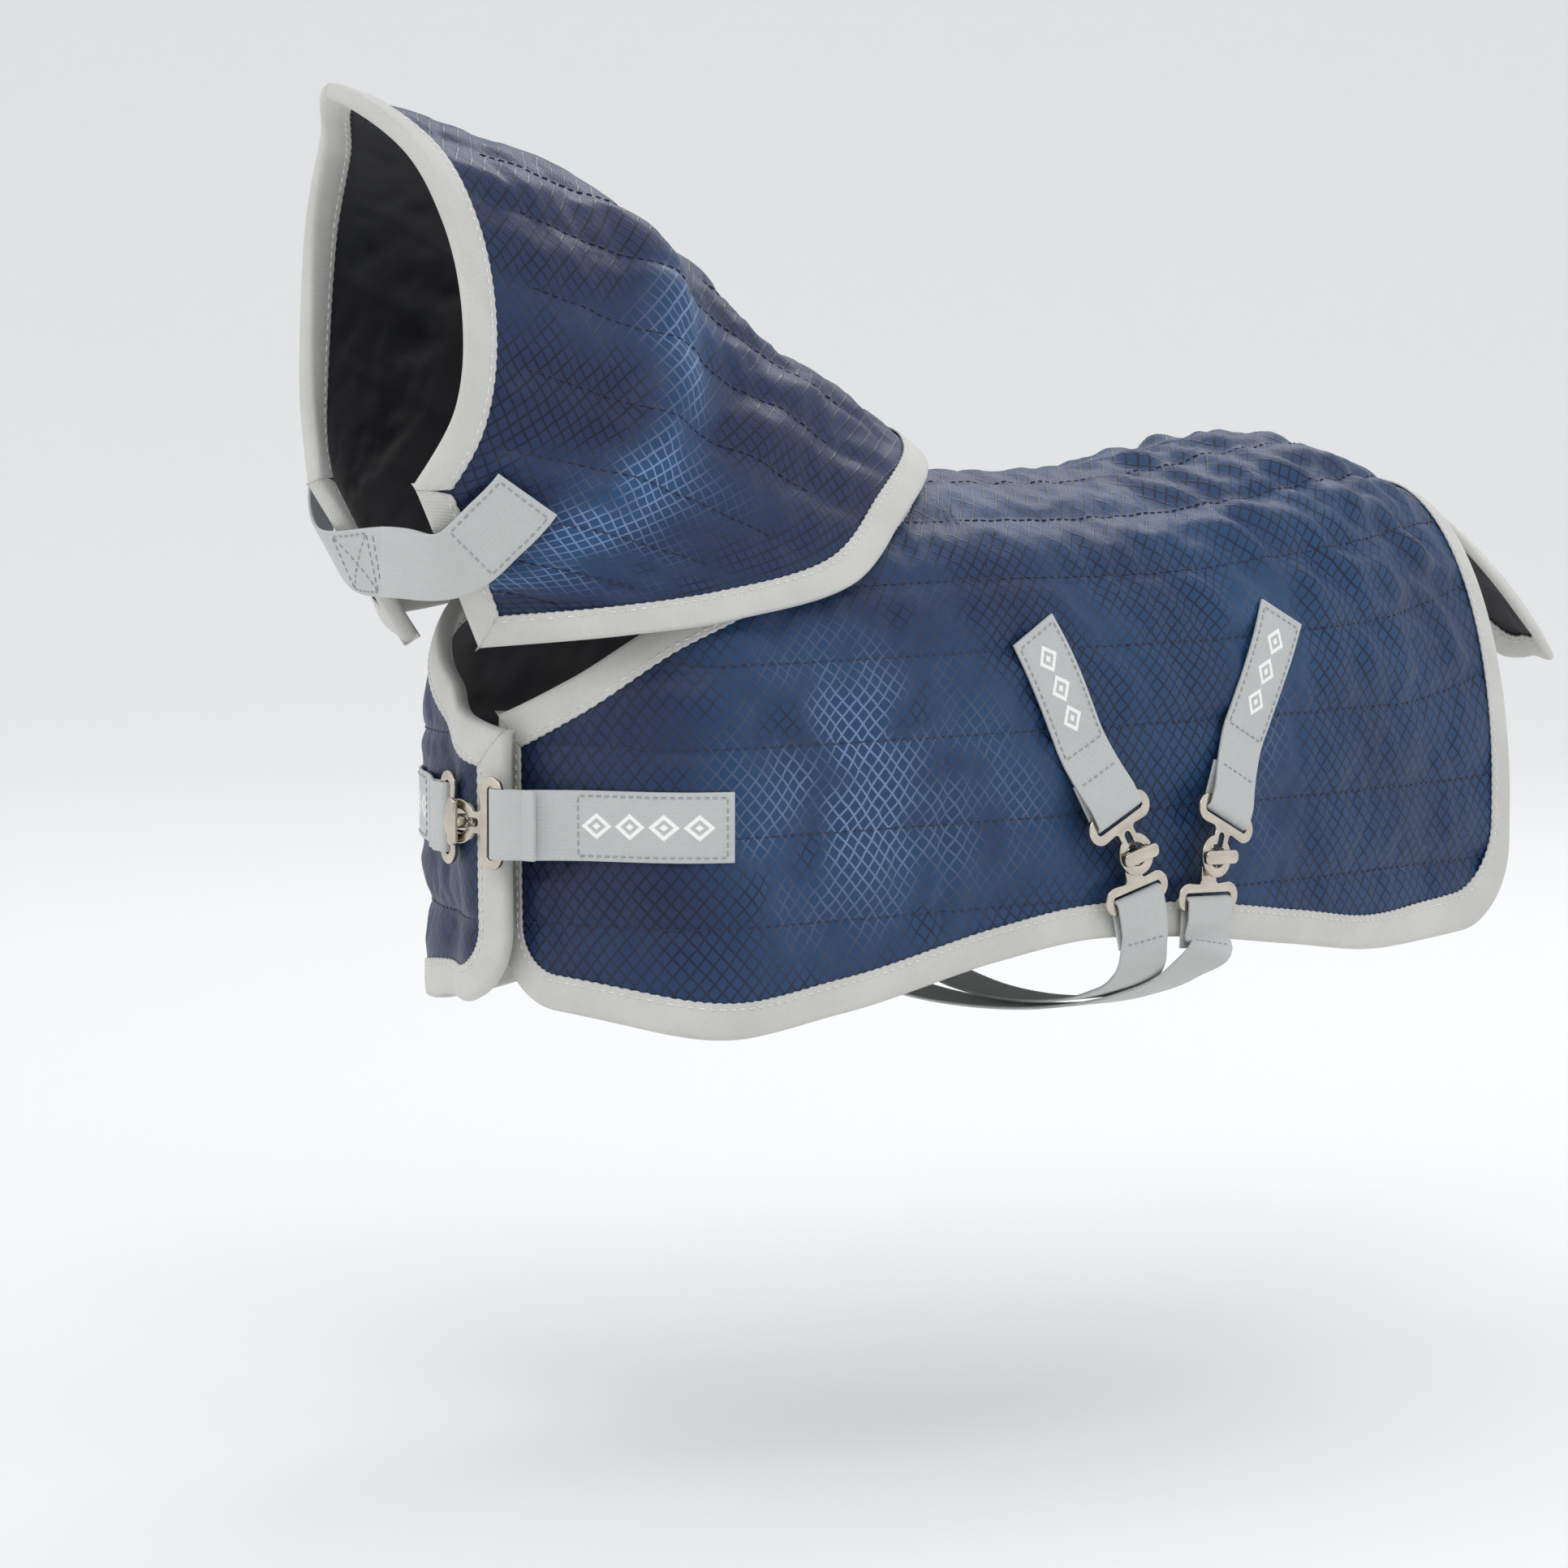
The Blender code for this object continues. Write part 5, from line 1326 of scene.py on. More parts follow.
def bind_cover(tag, side):
    """The binding of one half of the neck cover: a tape on each of three edges, mitred."""
    at, normal_at = partial(cover_point, side=side), partial(cover_normal, side=side)

    def metric(path):
        down, round_ = path.T
        along = np.linalg.norm(cover_base(down + 1, round_) - cover_base(down - 1, round_), axis=-1) / 2
        about = np.linalg.norm(cover_base(down, round_ + 1) - cover_base(down, round_ - 1), axis=-1) / 2
        return np.stack([along, about], axis=1)

    parts, rows = [], []
    corners = {
        "face": ((0, 100), (0, 0), (1, 0)), "throat": ((0, 0), (100, 0), (0, 1)),
        "foot": ((100, 0), (100, 100), (-1, 0)),
    }
    for label, (first, last, inward) in corners.items():
        first, last = np.array(first, dtype=float), np.array(last, dtype=float)
        share = np.linspace(0, 1, 300)[:, None]
        path = first + (last - first) * share
        length = distances(cover_base(*path.T))
        low = -MITRE_OVERHANG if label != "face" else 0.0
        high = length[-1] + (MITRE_OVERHANG if label != "foot" else 0.0)
        where = np.linspace(low, high, int((high - low) / PATH_STEP))
        per = length[-1]
        at_share = np.interp(where, length, share[:, 0]) + np.minimum(where, 0) / per + np.maximum(where - per, 0) / per
        path = first + (last - first) * at_share[:, None]
        limit = np.full(len(path), NO_LIMIT)
        if label != "face":
            limit = np.minimum(limit, where)
        if label != "foot":
            limit = np.minimum(limit, per - where)
        inwards = np.broadcast_to(np.array(inward, dtype=float), path.shape)
        scale = metric(path)
        parts.append(sweep_tape(label, at, path, inwards, limit, STACK, BINDING_WIDTH, scale))
        rows += edge_stitches(path, inwards, at, normal_at, STACK, BINDING_WIDTH, scale)
    settle(joined(f"neck_edge_{tag}", parts), "neck_cover", f"neck_binding_{tag}")
    settle(stitches(f"neck_edge_stitches_{tag}", rows, "pale_thread"), "neck_cover")


class RUG_OT_bindings(bpy.types.Operator):
    """Folds the binding tape over the rug's and the neck cover's edges and stitches it down"""

    bl_idname = "turnout_rug.bindings"
    bl_label = "Edge bindings"

    def execute(self, context):
        for tag, side in SIDES:
            bind_rug(tag, side)
            bind_cover(tag, side)
        return {"FINISHED"}


# ---------------------------------------------------------------- seam tapes
def seam_tape(name, along, point_at, body):
    """A flat tape under the lining across a centre seam."""
    half = 6.0
    rings, places = [], []
    for k, where in enumerate(along):
        ring, place = [], []
        for across, low in ((-1, 0), (-0.4, 0), (0.4, 0), (1, 0), (1, 1), (0.4, 1), (-0.4, 1), (-1, 1)):
            point = point_at(where, 1 if across > 0 else -1, -low * TAPE_THICK)
            point[1] = across * half
            ring.append(point)
            place.append((k * 2.0, across * half, 0))
        rings.append(ring)
        places.append(place)
    tape = tube(name, np.array(rings), np.array(places, dtype=float), "nylon_taffeta", SHARP_TAPE)
    return settle(tape, body)


class RUG_OT_seam_tapes(bpy.types.Operator):
    """Makes the tapes sewn under the back seam and the crest seam"""

    bl_idname = "turnout_rug.seam_tapes"
    bl_label = "Seam tapes"

    def execute(self, context):
        def spine(run, side, out):
            rise = float(crown_arc(run)) - 6.0
            return np.array(rug_point(run, rise, out - STACK - PLY_GAP - TAPE_DROP, side))

        def crest(down, side, out):
            return np.array(cover_point(down, 100.0, out - STACK - PLY_GAP - 1.4, side))

        inset = BINDING_WIDTH + 4
        back = seam_tape("back_seam_tape", np.linspace(WITHERS_RUN + inset, REAR_RUN - inset, 90), spine, "rug")
        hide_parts("rug_spine_tape")
        neck = seam_tape("crest_seam_tape", np.linspace(8, 92, 70), crest, "neck_cover")
        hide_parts("neck_crest_tape")
        return {"FINISHED"}


# ---------------------------------------------------------------- webbing
WEB_SECTION = (
    (-1.0, -0.25), (-0.985, -0.42), (-0.95, -0.5), (-0.5, -0.5), (0.0, -0.5), (0.5, -0.5), (0.95, -0.5), (0.985, -0.42),
    (1.0, -0.25), (1.0, 0.25), (0.985, 0.42), (0.95, 0.5), (0.5, 0.5), (0.0, 0.5), (-0.5, 0.5), (-0.95, 0.5),
    (-0.985, 0.42), (-1.0, 0.25),
)


def run_through(stations):
    """Smooth centre line and face normals through (point, normal) stations."""
    points = np.array([point for point, _ in stations], dtype=float)
    normals = np.array([normal for _, normal in stations], dtype=float)
    length = distances(points)
    where = np.linspace(0, length[-1], int(length[-1] / WEB_STEP) + 2)
    curve = spline(np.column_stack([length, points]), where)
    return curve, unit(spline(np.column_stack([length, normals]), where))


def web_axes(centres, normals):
    """Unit vectors across a strap and out from its face."""
    along = unit(np.gradient(centres, axis=0))
    across = unit(np.cross(normals, along))
    return across, unit(np.cross(along, across))


def webbing(name, centres, normals, width, motif=(0, 0), thick=WEB_THICK, look="polyester_webbing"):
    """A flat woven strap; motif gives the start and end of the woven lozenges along it, in millimetres."""
    across, face = web_axes(centres, normals)
    length = distances(centres)
    marked = ((length > motif[0]) & (length < motif[1])).astype(float)
    rings, places = [], []
    for beside, out in WEB_SECTION:
        rings.append(centres + across * beside * width / 2 + face * out * thick)
        shown = marked if out > 0 else 0 * marked
        places.append(np.stack([length, beside * width / 2 + 0 * length, shown], axis=-1))
    return tube(name, np.stack(rings, axis=1), np.stack(places, axis=1), look, SHARP_WEB)


def web_line(centres, normals, spots, out=WEB_THICK / 2 + 0.1):
    """A stitch row through (distance along, across) spots on a strap's face."""
    across, face = web_axes(centres, normals)
    length = distances(centres)
    ends = np.array(spots, dtype=float)
    share = np.linspace(0, 1, 12)[:, None]
    line = np.concatenate([a + (b - a) * share for a, b in zip(ends, ends[1:])])

    def at(values, where):
        return np.stack([np.interp(where, length, values[:, k]) for k in range(3)], axis=1)

    facing = unit(at(face, line[:, 0]))
    return at(centres, line[:, 0]) + at(across, line[:, 0]) * line[:, 1:] + facing * out, facing


def box_of_stitches(centres, normals, start, end, width, crossed=False):
    """Stitch rows round the sewn end of a strap, with a cross inside where it carries load."""
    half = width / 2 - 1.6
    corners = [(start, -half), (end, -half), (end, half), (start, half), (start, -half)]
    rows = [web_line(centres, normals, pair) for pair in zip(corners, corners[1:])]
    if crossed:
        rows += [web_line(centres, normals, ((start, h), (end, -h))) for h in (-half, half)]
    return rows


class Frame:
    """A flat piece's own axes: u along its strap, v across, n out from the cloth."""

    def __init__(self, origin, u, n):
        self.origin = origin
        self.n = unit(n)
        self.u = unit(u - self.n * float(u @ self.n))
        self.v = np.cross(self.n, self.u)

    def at(self, u, v, n):
        return self.origin + self.u * u + self.v * v + self.n * n

    def matrix(self):
        placed = Matrix([self.u, self.v, self.n]).transposed().to_4x4()
        placed.translation = self.origin * MM
        return placed

    def tipped(self, degrees):
        """Turned about v, so that the +u end goes in towards the cloth."""
        c, s = math.cos(math.radians(degrees)), math.sin(math.radians(degrees))
        return Frame(self.origin, self.u * c - self.n * s, self.n * c + self.u * s)

    def spun(self, degrees):
        """Turned about n."""
        c, s = math.cos(math.radians(degrees)), math.sin(math.radians(degrees))
        return Frame(self.origin, self.u * c + self.v * s, self.n)


def web_loop(plate, toward, low):
    """Stations of webbing that comes along the outside, turns through the slot and returns underneath."""
    clear = LOOP_GAP + WEB_THICK / 2
    middle = low + PLATE_THICK / 2
    radius = PLATE_THICK / 2 + clear
    centre = BAR_NEAR + 0.5
    stations = [(plate.at(toward * u, 0, middle + radius), plate.n) for u in (BAR_FAR + 2.5, BAR_NEAR + 1.6)]
    for k in range(7):
        angle = math.pi * k / 6
        point = plate.at(toward * (centre - radius * math.sin(angle)), 0, middle + radius * math.cos(angle))
        stations.append((point, plate.n * math.cos(angle) - plate.u * toward * math.sin(angle)))
    for u in (BAR_FAR, BAR_FAR + RETURN_LENGTH):
        stations.append((plate.at(toward * u, 0, middle - radius), -plate.n))
    return stations


def strap_path(stations, loop):
    """Webbing through the stations and then round a plate's bar; returns centres, normals and the main length."""
    centres, normals = run_through(stations + loop[:1])
    main = distances(centres)[-1]
    points = np.array([point for point, _ in loop])
    facing = np.array([normal for _, normal in loop])
    return np.concatenate([centres, points[1:]]), np.concatenate([normals, facing[1:]]), main


def sewn_strap(name, stations, loop, width, body, node, sewn, motif):
    """A strap sewn down from its start to sewn, with a stitched return at its plate and lozenges between."""
    centres, normals, main = strap_path(stations, loop)
    item = webbing(name, centres, normals, width, motif)
    rows = box_of_stitches(centres, normals, 2.2, sewn, width)
    across = main - RETURN_LENGTH + 3
    rows.append(web_line(centres, normals, ((across, 2 - width / 2), (across, width / 2 - 2))))
    settle(item, body, node)
    settle(stitches(f"{name}_stitches", rows, "grey_thread"), body)
    return centres, normals


def rug_station(run, z, out, side):
    """Station of webbing over the rug at a run round the plan and a height."""
    rise = z - float(widest(run))
    return rug_point(run, rise, out + WEB_THICK / 2, side), rug_normal(run, rise, side)


def chest_frames():
    """Axes of the chest clip's eye plate and hook plate."""
    out = LAP + BINDING_PROUD + WEB_LIFT - HOOK_LOW
    origin = rug_point(CHEST_EYE_RUN, CHEST_STRAP_Z - float(widest(CHEST_EYE_RUN)), out, -1)
    plate = Frame(origin, np.array([0.0, -1.0, 0.0]), np.array([-1.0, 0.0, 0.0]))
    return plate.tipped(10.0), plate.tipped(-9.0)


def flank(x, z, out, side=-1):
    """Station of webbing over the rug's side at x and z."""
    return rug_station(run_at(x + RUG_X0), z, out, side)


def surcingle_frames(top_x, eye_x, eye_z, spin, **_):
    """Axes of a surcingle clip's eye plate and hook plate."""
    origin, normal = flank(eye_x, eye_z, BELLY_PLATE_LIFT - HOOK_LOW - WEB_THICK / 2)
    slope = unit(np.array([top_x - eye_x, SURCINGLE_TOP_Z - eye_z]))
    plate = Frame(origin, np.array([slope[0], 0.0, slope[1]]), normal)
    return plate.tipped(8.0), plate.spun(spin)


def build_surcingle(name, size):
    """Webbing of one surcingle: the near strap, and the belly strap from the off side to the hook plate."""
    eye_frame, hook_frame = surcingle_frames(**size)
    top = np.array([size["top_x"], SURCINGLE_TOP_Z])
    eye = np.array([size["eye_x"], size["eye_z"]])
    stations = [flank(*(top + (eye - top) * share), WEB_LIFT) for share in (0.0, 0.14, 0.28, 0.42, 0.52)]
    stations.append(flank(*(top + (eye - top) * 0.64), WEB_LIFT + 2.2))
    sewn_strap(
        f"{name}_upper_web", stations, web_loop(eye_frame, 1, 0.0), BELLY_WEB, "rug", f"{name}_near_strap",
        44.0, (5.5, 38.5),
    )
    hem_z = -RUG_DROP + 2.0
    outer = size["outer"]
    half = BARREL_HALF_WIDTH + BINDING_PROUD + WEB_LIFT + WEB_THICK + outer
    start = hook_frame.at(-(BAR_FAR + RETURN_LENGTH), 0, 0)
    far_top = np.array([size["far_top_x"], SURCINGLE_TOP_Z])
    far_low = np.array([size["far_hem_x"], hem_z + 14])
    stations = [flank(*(far_top + (far_low - far_top) * share), WEB_LIFT, 1) for share in (0.0, 0.2, 0.4, 0.6, 0.78)]
    stations.append(flank(far_low[0], far_low[1] + 2, BINDING_PROUD + WEB_LIFT + outer, 1))
    down = BELLY_DROP + outer
    for share in np.linspace(0, 1, 9):
        angle = math.pi * (0.02 + 0.96 * share)
        x = far_low[0] + (start[0] - far_low[0]) * share
        point = np.array([x, half * math.cos(angle), hem_z - down * math.sin(angle)])
        stations.append((point, unit(np.array([0.0, math.cos(angle) / half, -math.sin(angle) / down]))))
    stations.append((hook_frame.at(-(BAR_FAR + 9), 0, HOOK_LOW + PLATE_THICK), hook_frame.n))
    sewn_strap(
        f"{name}_belly_web", stations, web_loop(hook_frame, -1, HOOK_LOW), BELLY_WEB, "rug", f"{name}_belly_strap",
        56.0, (5.5, 49.5),
    )


class RUG_OT_webbing(bpy.types.Operator):
    """Weaves the chest straps and the surcingles and sews their ends"""

    bl_idname = "turnout_rug.webbing"
    bl_label = "Webbing"

    def execute(self, context):
        eye_frame, hook_frame = chest_frames()
        for tag, side, plate, toward, low, last in (
            ("near", -1, eye_frame, 1, 0.0, (42.0, 2.6)), ("off", 1, hook_frame, -1, HOOK_LOW, (40.0, 1.4)),
        ):
            stations = [rug_station(run, CHEST_STRAP_Z, WEB_LIFT, side) for run in (90.0, 78.0, 66.0, 54.0)]
            stations.append(rug_station(last[0], CHEST_STRAP_Z, last[1], side))
            sewn_strap(
                f"chest_web_{tag}", stations, web_loop(plate, toward, low), CHEST_WEB, "rug", f"chest_strap_{tag}",
                50.0, (5.5, 49.5),
            )
        for name, size in SURCINGLES.items():
            build_surcingle(name, size)
        return {"FINISHED"}


# ---------------------------------------------------------------- throat fastening
class RUG_OT_throat(bpy.types.Operator):
    """Makes the throat strap, its tab and the hook-and-loop tape"""

    bl_idname = "turnout_rug.throat"
    bl_label = "Throat fastening"

    def execute(self, context):
        lift = BINDING_PROUD + WEB_LIFT

        def stop(down, round_, out, side):
            return cover_point(down, round_, out + WEB_THICK / 2, side), cover_normal(down, round_, side)

        stations = [stop(*spot, lift + OVER_EDGE, 1) for spot in ((40, 24), (42, 18), (44, 11), (46, 4))]
        front_x = float(cover_point(48, 0, lift, 1)[0]) - 4.0
        bridge = np.array([front_x, -0.10 * FACE_HALF_WIDTH, -17.5])
        stations.append((bridge, unit(np.array([-1.0, -0.25, 0.0]))))
        centres, normals = run_through(stations)
        strap = webbing("throat_web", centres, normals, CHEST_WEB)
        settle(strap, "neck_cover", "throat_strap")
        total = distances(centres)[-1]
        rows = box_of_stitches(centres, normals, total - 30, total - 13, CHEST_WEB, crossed=True)
        rows.append(web_line(centres, normals, ((total - 10, -9), (total - 10, 9))))
        settle(stitches("throat_web_stitches", rows, "grey_thread"), "neck_cover")

        above = WEB_LIFT + 2 * PATCH_THICK + 4 * PLY_GAP
        ahead = unit(centres[-1] - centres[-4])
        over = normals[-1] * (WEB_THICK + 0.15)
        tab = [(centres[-1] - ahead * TAB_OVERLAP + over, normals[-1]), (centres[-1] + ahead + over * 0.5, normals[-1])]
        tab.append(stop(44, 4, lift + OVER_EDGE, -1))
        tab += [stop(*spot, above, -1) for spot in ((40, 9.8), (38.3, 12.9), (36.5, 16.2), (36, 17))]
        tab_centres, tab_normals = run_through(tab)
        item = webbing("throat_tab_web", tab_centres, tab_normals, CHEST_WEB)
        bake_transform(item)
        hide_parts("throat_tab")
        length = distances(tab_centres)[-1]
        rows = [web_line(tab_centres, tab_normals, ((length - 26, v), (length - 2, v))) for v in (-9.2, 9.2)]
        rows += [web_line(tab_centres, tab_normals, ((u, -9.2), (u, 9.2))) for u in (length - 26, length - 2)]
        settle(stitches("throat_tab_stitches", rows, "grey_thread"), "throat_fastener")

        for name, out, body in (
            ("loop", WEB_LIFT, "neck_cover"), ("hook", WEB_LIFT + PATCH_THICK + PLY_GAP, "throat_fastener"),
        ):
            spots = ((39.5, 10.8), (38, 13.5), (36.5, 16.2))
            seats = [(cover_point(*s, out + PATCH_THICK / 2, -1), cover_normal(*s, -1)) for s in spots]
            patch_centres, patch_normals = run_through(seats)
            patch = webbing(
                f"throat_{name}_tape", patch_centres, patch_normals, PATCH_WIDTH, thick=PATCH_THICK, look="loop_tape"
            )
            settle(patch, body, f"throat_{name}_patch")
        return {"FINISHED"}


# ---------------------------------------------------------------- clips
def arc(centre, radius, start, end, steps=ARC_STEPS):
    angles = np.radians(np.linspace(start, end, steps + 1))
    return list(zip(centre[0] + radius * np.cos(angles), centre[1] + radius * np.sin(angles)))


def plate_outline(web, tip_radius):
    """Rounded bar with the webbing slot, a waisted neck, and a round end of tip_radius about the origin."""
    half = (web + SLOT_PLAY) / 2 + SLOT_END_WALL
    low, high = SLOT_CENTRE - SLOT_WIDTH / 2 - PLATE_BAR, BAR_FAR
    corner = (high - low) / 2
    spread = math.degrees(math.asin(min(0.95, NECK_HALF / tip_radius)))
    fillet = 1.4
    outline = arc((0, 0), tip_radius, spread, 360 - spread)
    outline += arc((low - fillet + 0.4, -NECK_HALF - fillet), fillet, 90, 0, 8)
    outline += arc((low + corner, -half + corner), corner, 180, 360)
    outline += arc((low + corner, half - corner), corner, 0, 180)
    outline += arc((low - fillet + 0.4, NECK_HALF + fillet), fillet, 0, -90, 8)
    return outline


def slot_outline(web):
    half, radius = (web + SLOT_PLAY) / 2, SLOT_WIDTH / 2
    low = arc((SLOT_CENTRE, -half + radius), radius, 180, 360, 12)
    return low + arc((SLOT_CENTRE, half - radius), radius, 0, 180, 12)


def keyhole_outline():
    """Round eye with a short slit towards the webbing slot."""
    slit = 1.3
    spread = math.degrees(math.asin(slit / EYE_RADIUS))
    return arc((0, 0), EYE_RADIUS, spread, 360 - spread) + arc((RING_RADIUS, 0), slit, -90, 90, 10)


def pressed_plate(name, outlines, low, plate, toward, edge):
    """A plate with rounded edges, cut to the outlines, from low to low + PLATE_THICK along the frame's n."""
    curve = bpy.data.curves.new(name, "CURVE")
    curve.dimensions = "2D"
    curve.fill_mode = "BOTH"
    curve.extrude = PLATE_THICK / 2 * MM - edge
    curve.bevel_depth = edge
    curve.bevel_resolution = 3
    curve.offset = -edge
    for points in outlines:
        line = curve.splines.new("POLY")
        line.points.add(len(points) - 1)
        for spot, (u, v) in zip(line.points, points):
            spot.co = (u * MM, v * MM, 0, 1)
        line.use_cyclic_u = True
    drawn = bpy.data.objects.new(name + "_outline", curve)
    bpy.context.scene.collection.objects.link(drawn)
    mesh = bpy.data.meshes.new_from_object(drawn.evaluated_get(bpy.context.evaluated_depsgraph_get()))
    bpy.data.objects.remove(drawn)
    body = bmesh.new()
    body.from_mesh(mesh)
    bmesh.ops.remove_doubles(body, verts=body.verts, dist=1e-6)
    for vert in body.verts:
        vert.co = (toward * vert.co.x, vert.co.y, vert.co.z + (low + PLATE_THICK / 2) * MM)
    finish_metal(body, mesh)
    return metal_piece(name, mesh, plate)


def finish_metal(body, mesh):
    """Writes a bmesh into a mesh with its faces outward."""
    bmesh.ops.recalc_face_normals(body, faces=body.faces)
    if body.calc_volume(signed=True) < 0:
        bmesh.ops.reverse_faces(body, faces=body.faces)
    body.to_mesh(mesh)
    body.free()


def metal_piece(name, mesh, plate):
    """A plated object from a mesh that stands in a plate's own axes."""
    mesh.name = name
    mesh.materials.clear()
    mesh.materials.append(look_named("nickel_plate"))
    mesh.shade_smooth()
    mesh.set_sharp_from_angle(angle=math.radians(SHARP_METAL))
    item = bpy.data.objects.new(name, mesh)
    bpy.context.scene.collection.objects.link(item)
    item.matrix_world = plate.matrix()
    return item


def t_bar(name, plate, low):
    """The hook plate's stem with its rounded bar."""
    top = low + PLATE_THICK + UNDER_GAP + PLATE_THICK + OVER_GAP
    length, width, thick = T_BAR
    body = bmesh.new()
    start = low + PLATE_THICK / 2
    stem = bmesh.ops.create_cone(
        body, cap_ends=True, segments=40, radius1=STEM_RADIUS * MM, radius2=STEM_RADIUS * MM,
        depth=(top + thick * 0.5 - start) * MM,
    )["verts"]
    bmesh.ops.translate(body, verts=stem, vec=(0, 0, (top + thick * 0.5 + start) / 2 * MM))
    bar = bmesh.ops.create_cube(body, size=1.0)["verts"]
    for vert in bar:
        vert.co = Vector((vert.co.x * width, vert.co.y * length, top + thick / 2 + vert.co.z * thick)) * MM
    upright = [
        e for e in body.edges if all(v in bar for v in e.verts) and abs((e.verts[0].co - e.verts[1].co).z) > 1e-4
    ]
    bmesh.ops.bevel(body, geom=upright, offset=1.9 * MM, segments=10, profile=0.5, affect="EDGES")
    rim = [
        e for e in body.edges
        if abs((e.verts[0].co - e.verts[1].co).z) < 1e-7 and min(v.co.z for v in e.verts) > (top - 0.01) * MM
        and len(e.link_faces) == 2 and e.calc_face_angle(0) > 1.0
    ]
    bmesh.ops.bevel(body, geom=rim, offset=0.55 * MM, segments=4, profile=0.5, affect="EDGES")
    mesh = bpy.data.meshes.new(name)
    finish_metal(body, mesh)
    return metal_piece(name, mesh, plate)


def build_clip(name, web, eye_frame, hook_frame, edge):
    """An eye plate, and a hook plate whose T bar stands through it."""
    eye = pressed_plate(
        f"{name}_eye", [plate_outline(web, RING_RADIUS), slot_outline(web), keyhole_outline()], 0.0, eye_frame, 1, edge
    )
    settle(eye, f"{name}_eye", f"{name}_eye_plate")
    outline = [plate_outline(web, NECK_HALF + 0.3), slot_outline(web)]
    hook = pressed_plate(f"{name}_hook", outline, HOOK_LOW, hook_frame, -1, edge)
    hook = joined(f"{name}_hook", [hook, t_bar(f"{name}_bar", hook_frame, HOOK_LOW)])
    settle(hook, f"{name}_hook", f"{name}_hook_plate")


class RUG_OT_clips(bpy.types.Operator):
    """Presses the eye plates and the hook plates of the chest and surcingle clips"""

    bl_idname = "turnout_rug.clips"
    bl_label = "Clips"

    def execute(self, context):
        edge = context.scene.rug_hardware.edge_round
        build_clip("chest", CHEST_WEB, *chest_frames(), edge)
        for name, size in SURCINGLES.items():
            build_clip(name, BELLY_WEB, *surcingle_frames(**size), edge)
        return {"FINISHED"}


# ---------------------------------------------------------------- tail flap
SEAM_RUN = REAR_RUN + BINDING_PROUD + 0.8


def flap_base(back, across):
    """Points of the tail flap's outer surface: back from its seam, across from the centre line."""
    back, across = np.broadcast_arrays(np.asarray(back, dtype=float), np.asarray(across, dtype=float))
    crown = rug_base(SEAM_RUN, crown_arc(SEAM_RUN))
    root = rug_base(SEAM_RUN, crown_arc(SEAM_RUN) - np.abs(across))
    share = back / FLAP_LENGTH
    slope = np.radians(24 + 16 * np.maximum(share, 0))
    drop = (root[..., 2] - crown[2]) * (1 + np.maximum(share, 0) * (2.6 - share))
    y = np.copysign(np.abs(root[..., 1]), across)
    tuck = -4.9 * ease(-back / 4.0)
    return np.stack([crown[0] + back * np.cos(slope), y, crown[2] - 1.5 + drop - back * np.sin(slope) + tuck], axis=-1)


def flap_normal(back, across, step=1.0):
    along = flap_base(back + step, across) - flap_base(back - step, across)
    sideways = flap_base(back, across + step) - flap_base(back, across - step)
    return unit(np.cross(along, sideways))


def flap_point(back, across, out=0.0):
    return flap_base(back, across) + flap_normal(back, across) * np.asarray(out, dtype=float)[..., None]


def flap_half(back):
    share = np.maximum(0.0, back / FLAP_LENGTH - 0.45) / 0.55
    return FLAP_HALF_WIDTH * (1 - 0.55 * share * share)


def flap_tip(back):
    """Half-width of the flap, with its tip's corners rounded."""
    inside = np.clip(back - FLAP_LENGTH + FLAP_CORNER, 0, FLAP_CORNER)
    return flap_half(back) - FLAP_CORNER + np.sqrt(FLAP_CORNER ** 2 - inside ** 2)


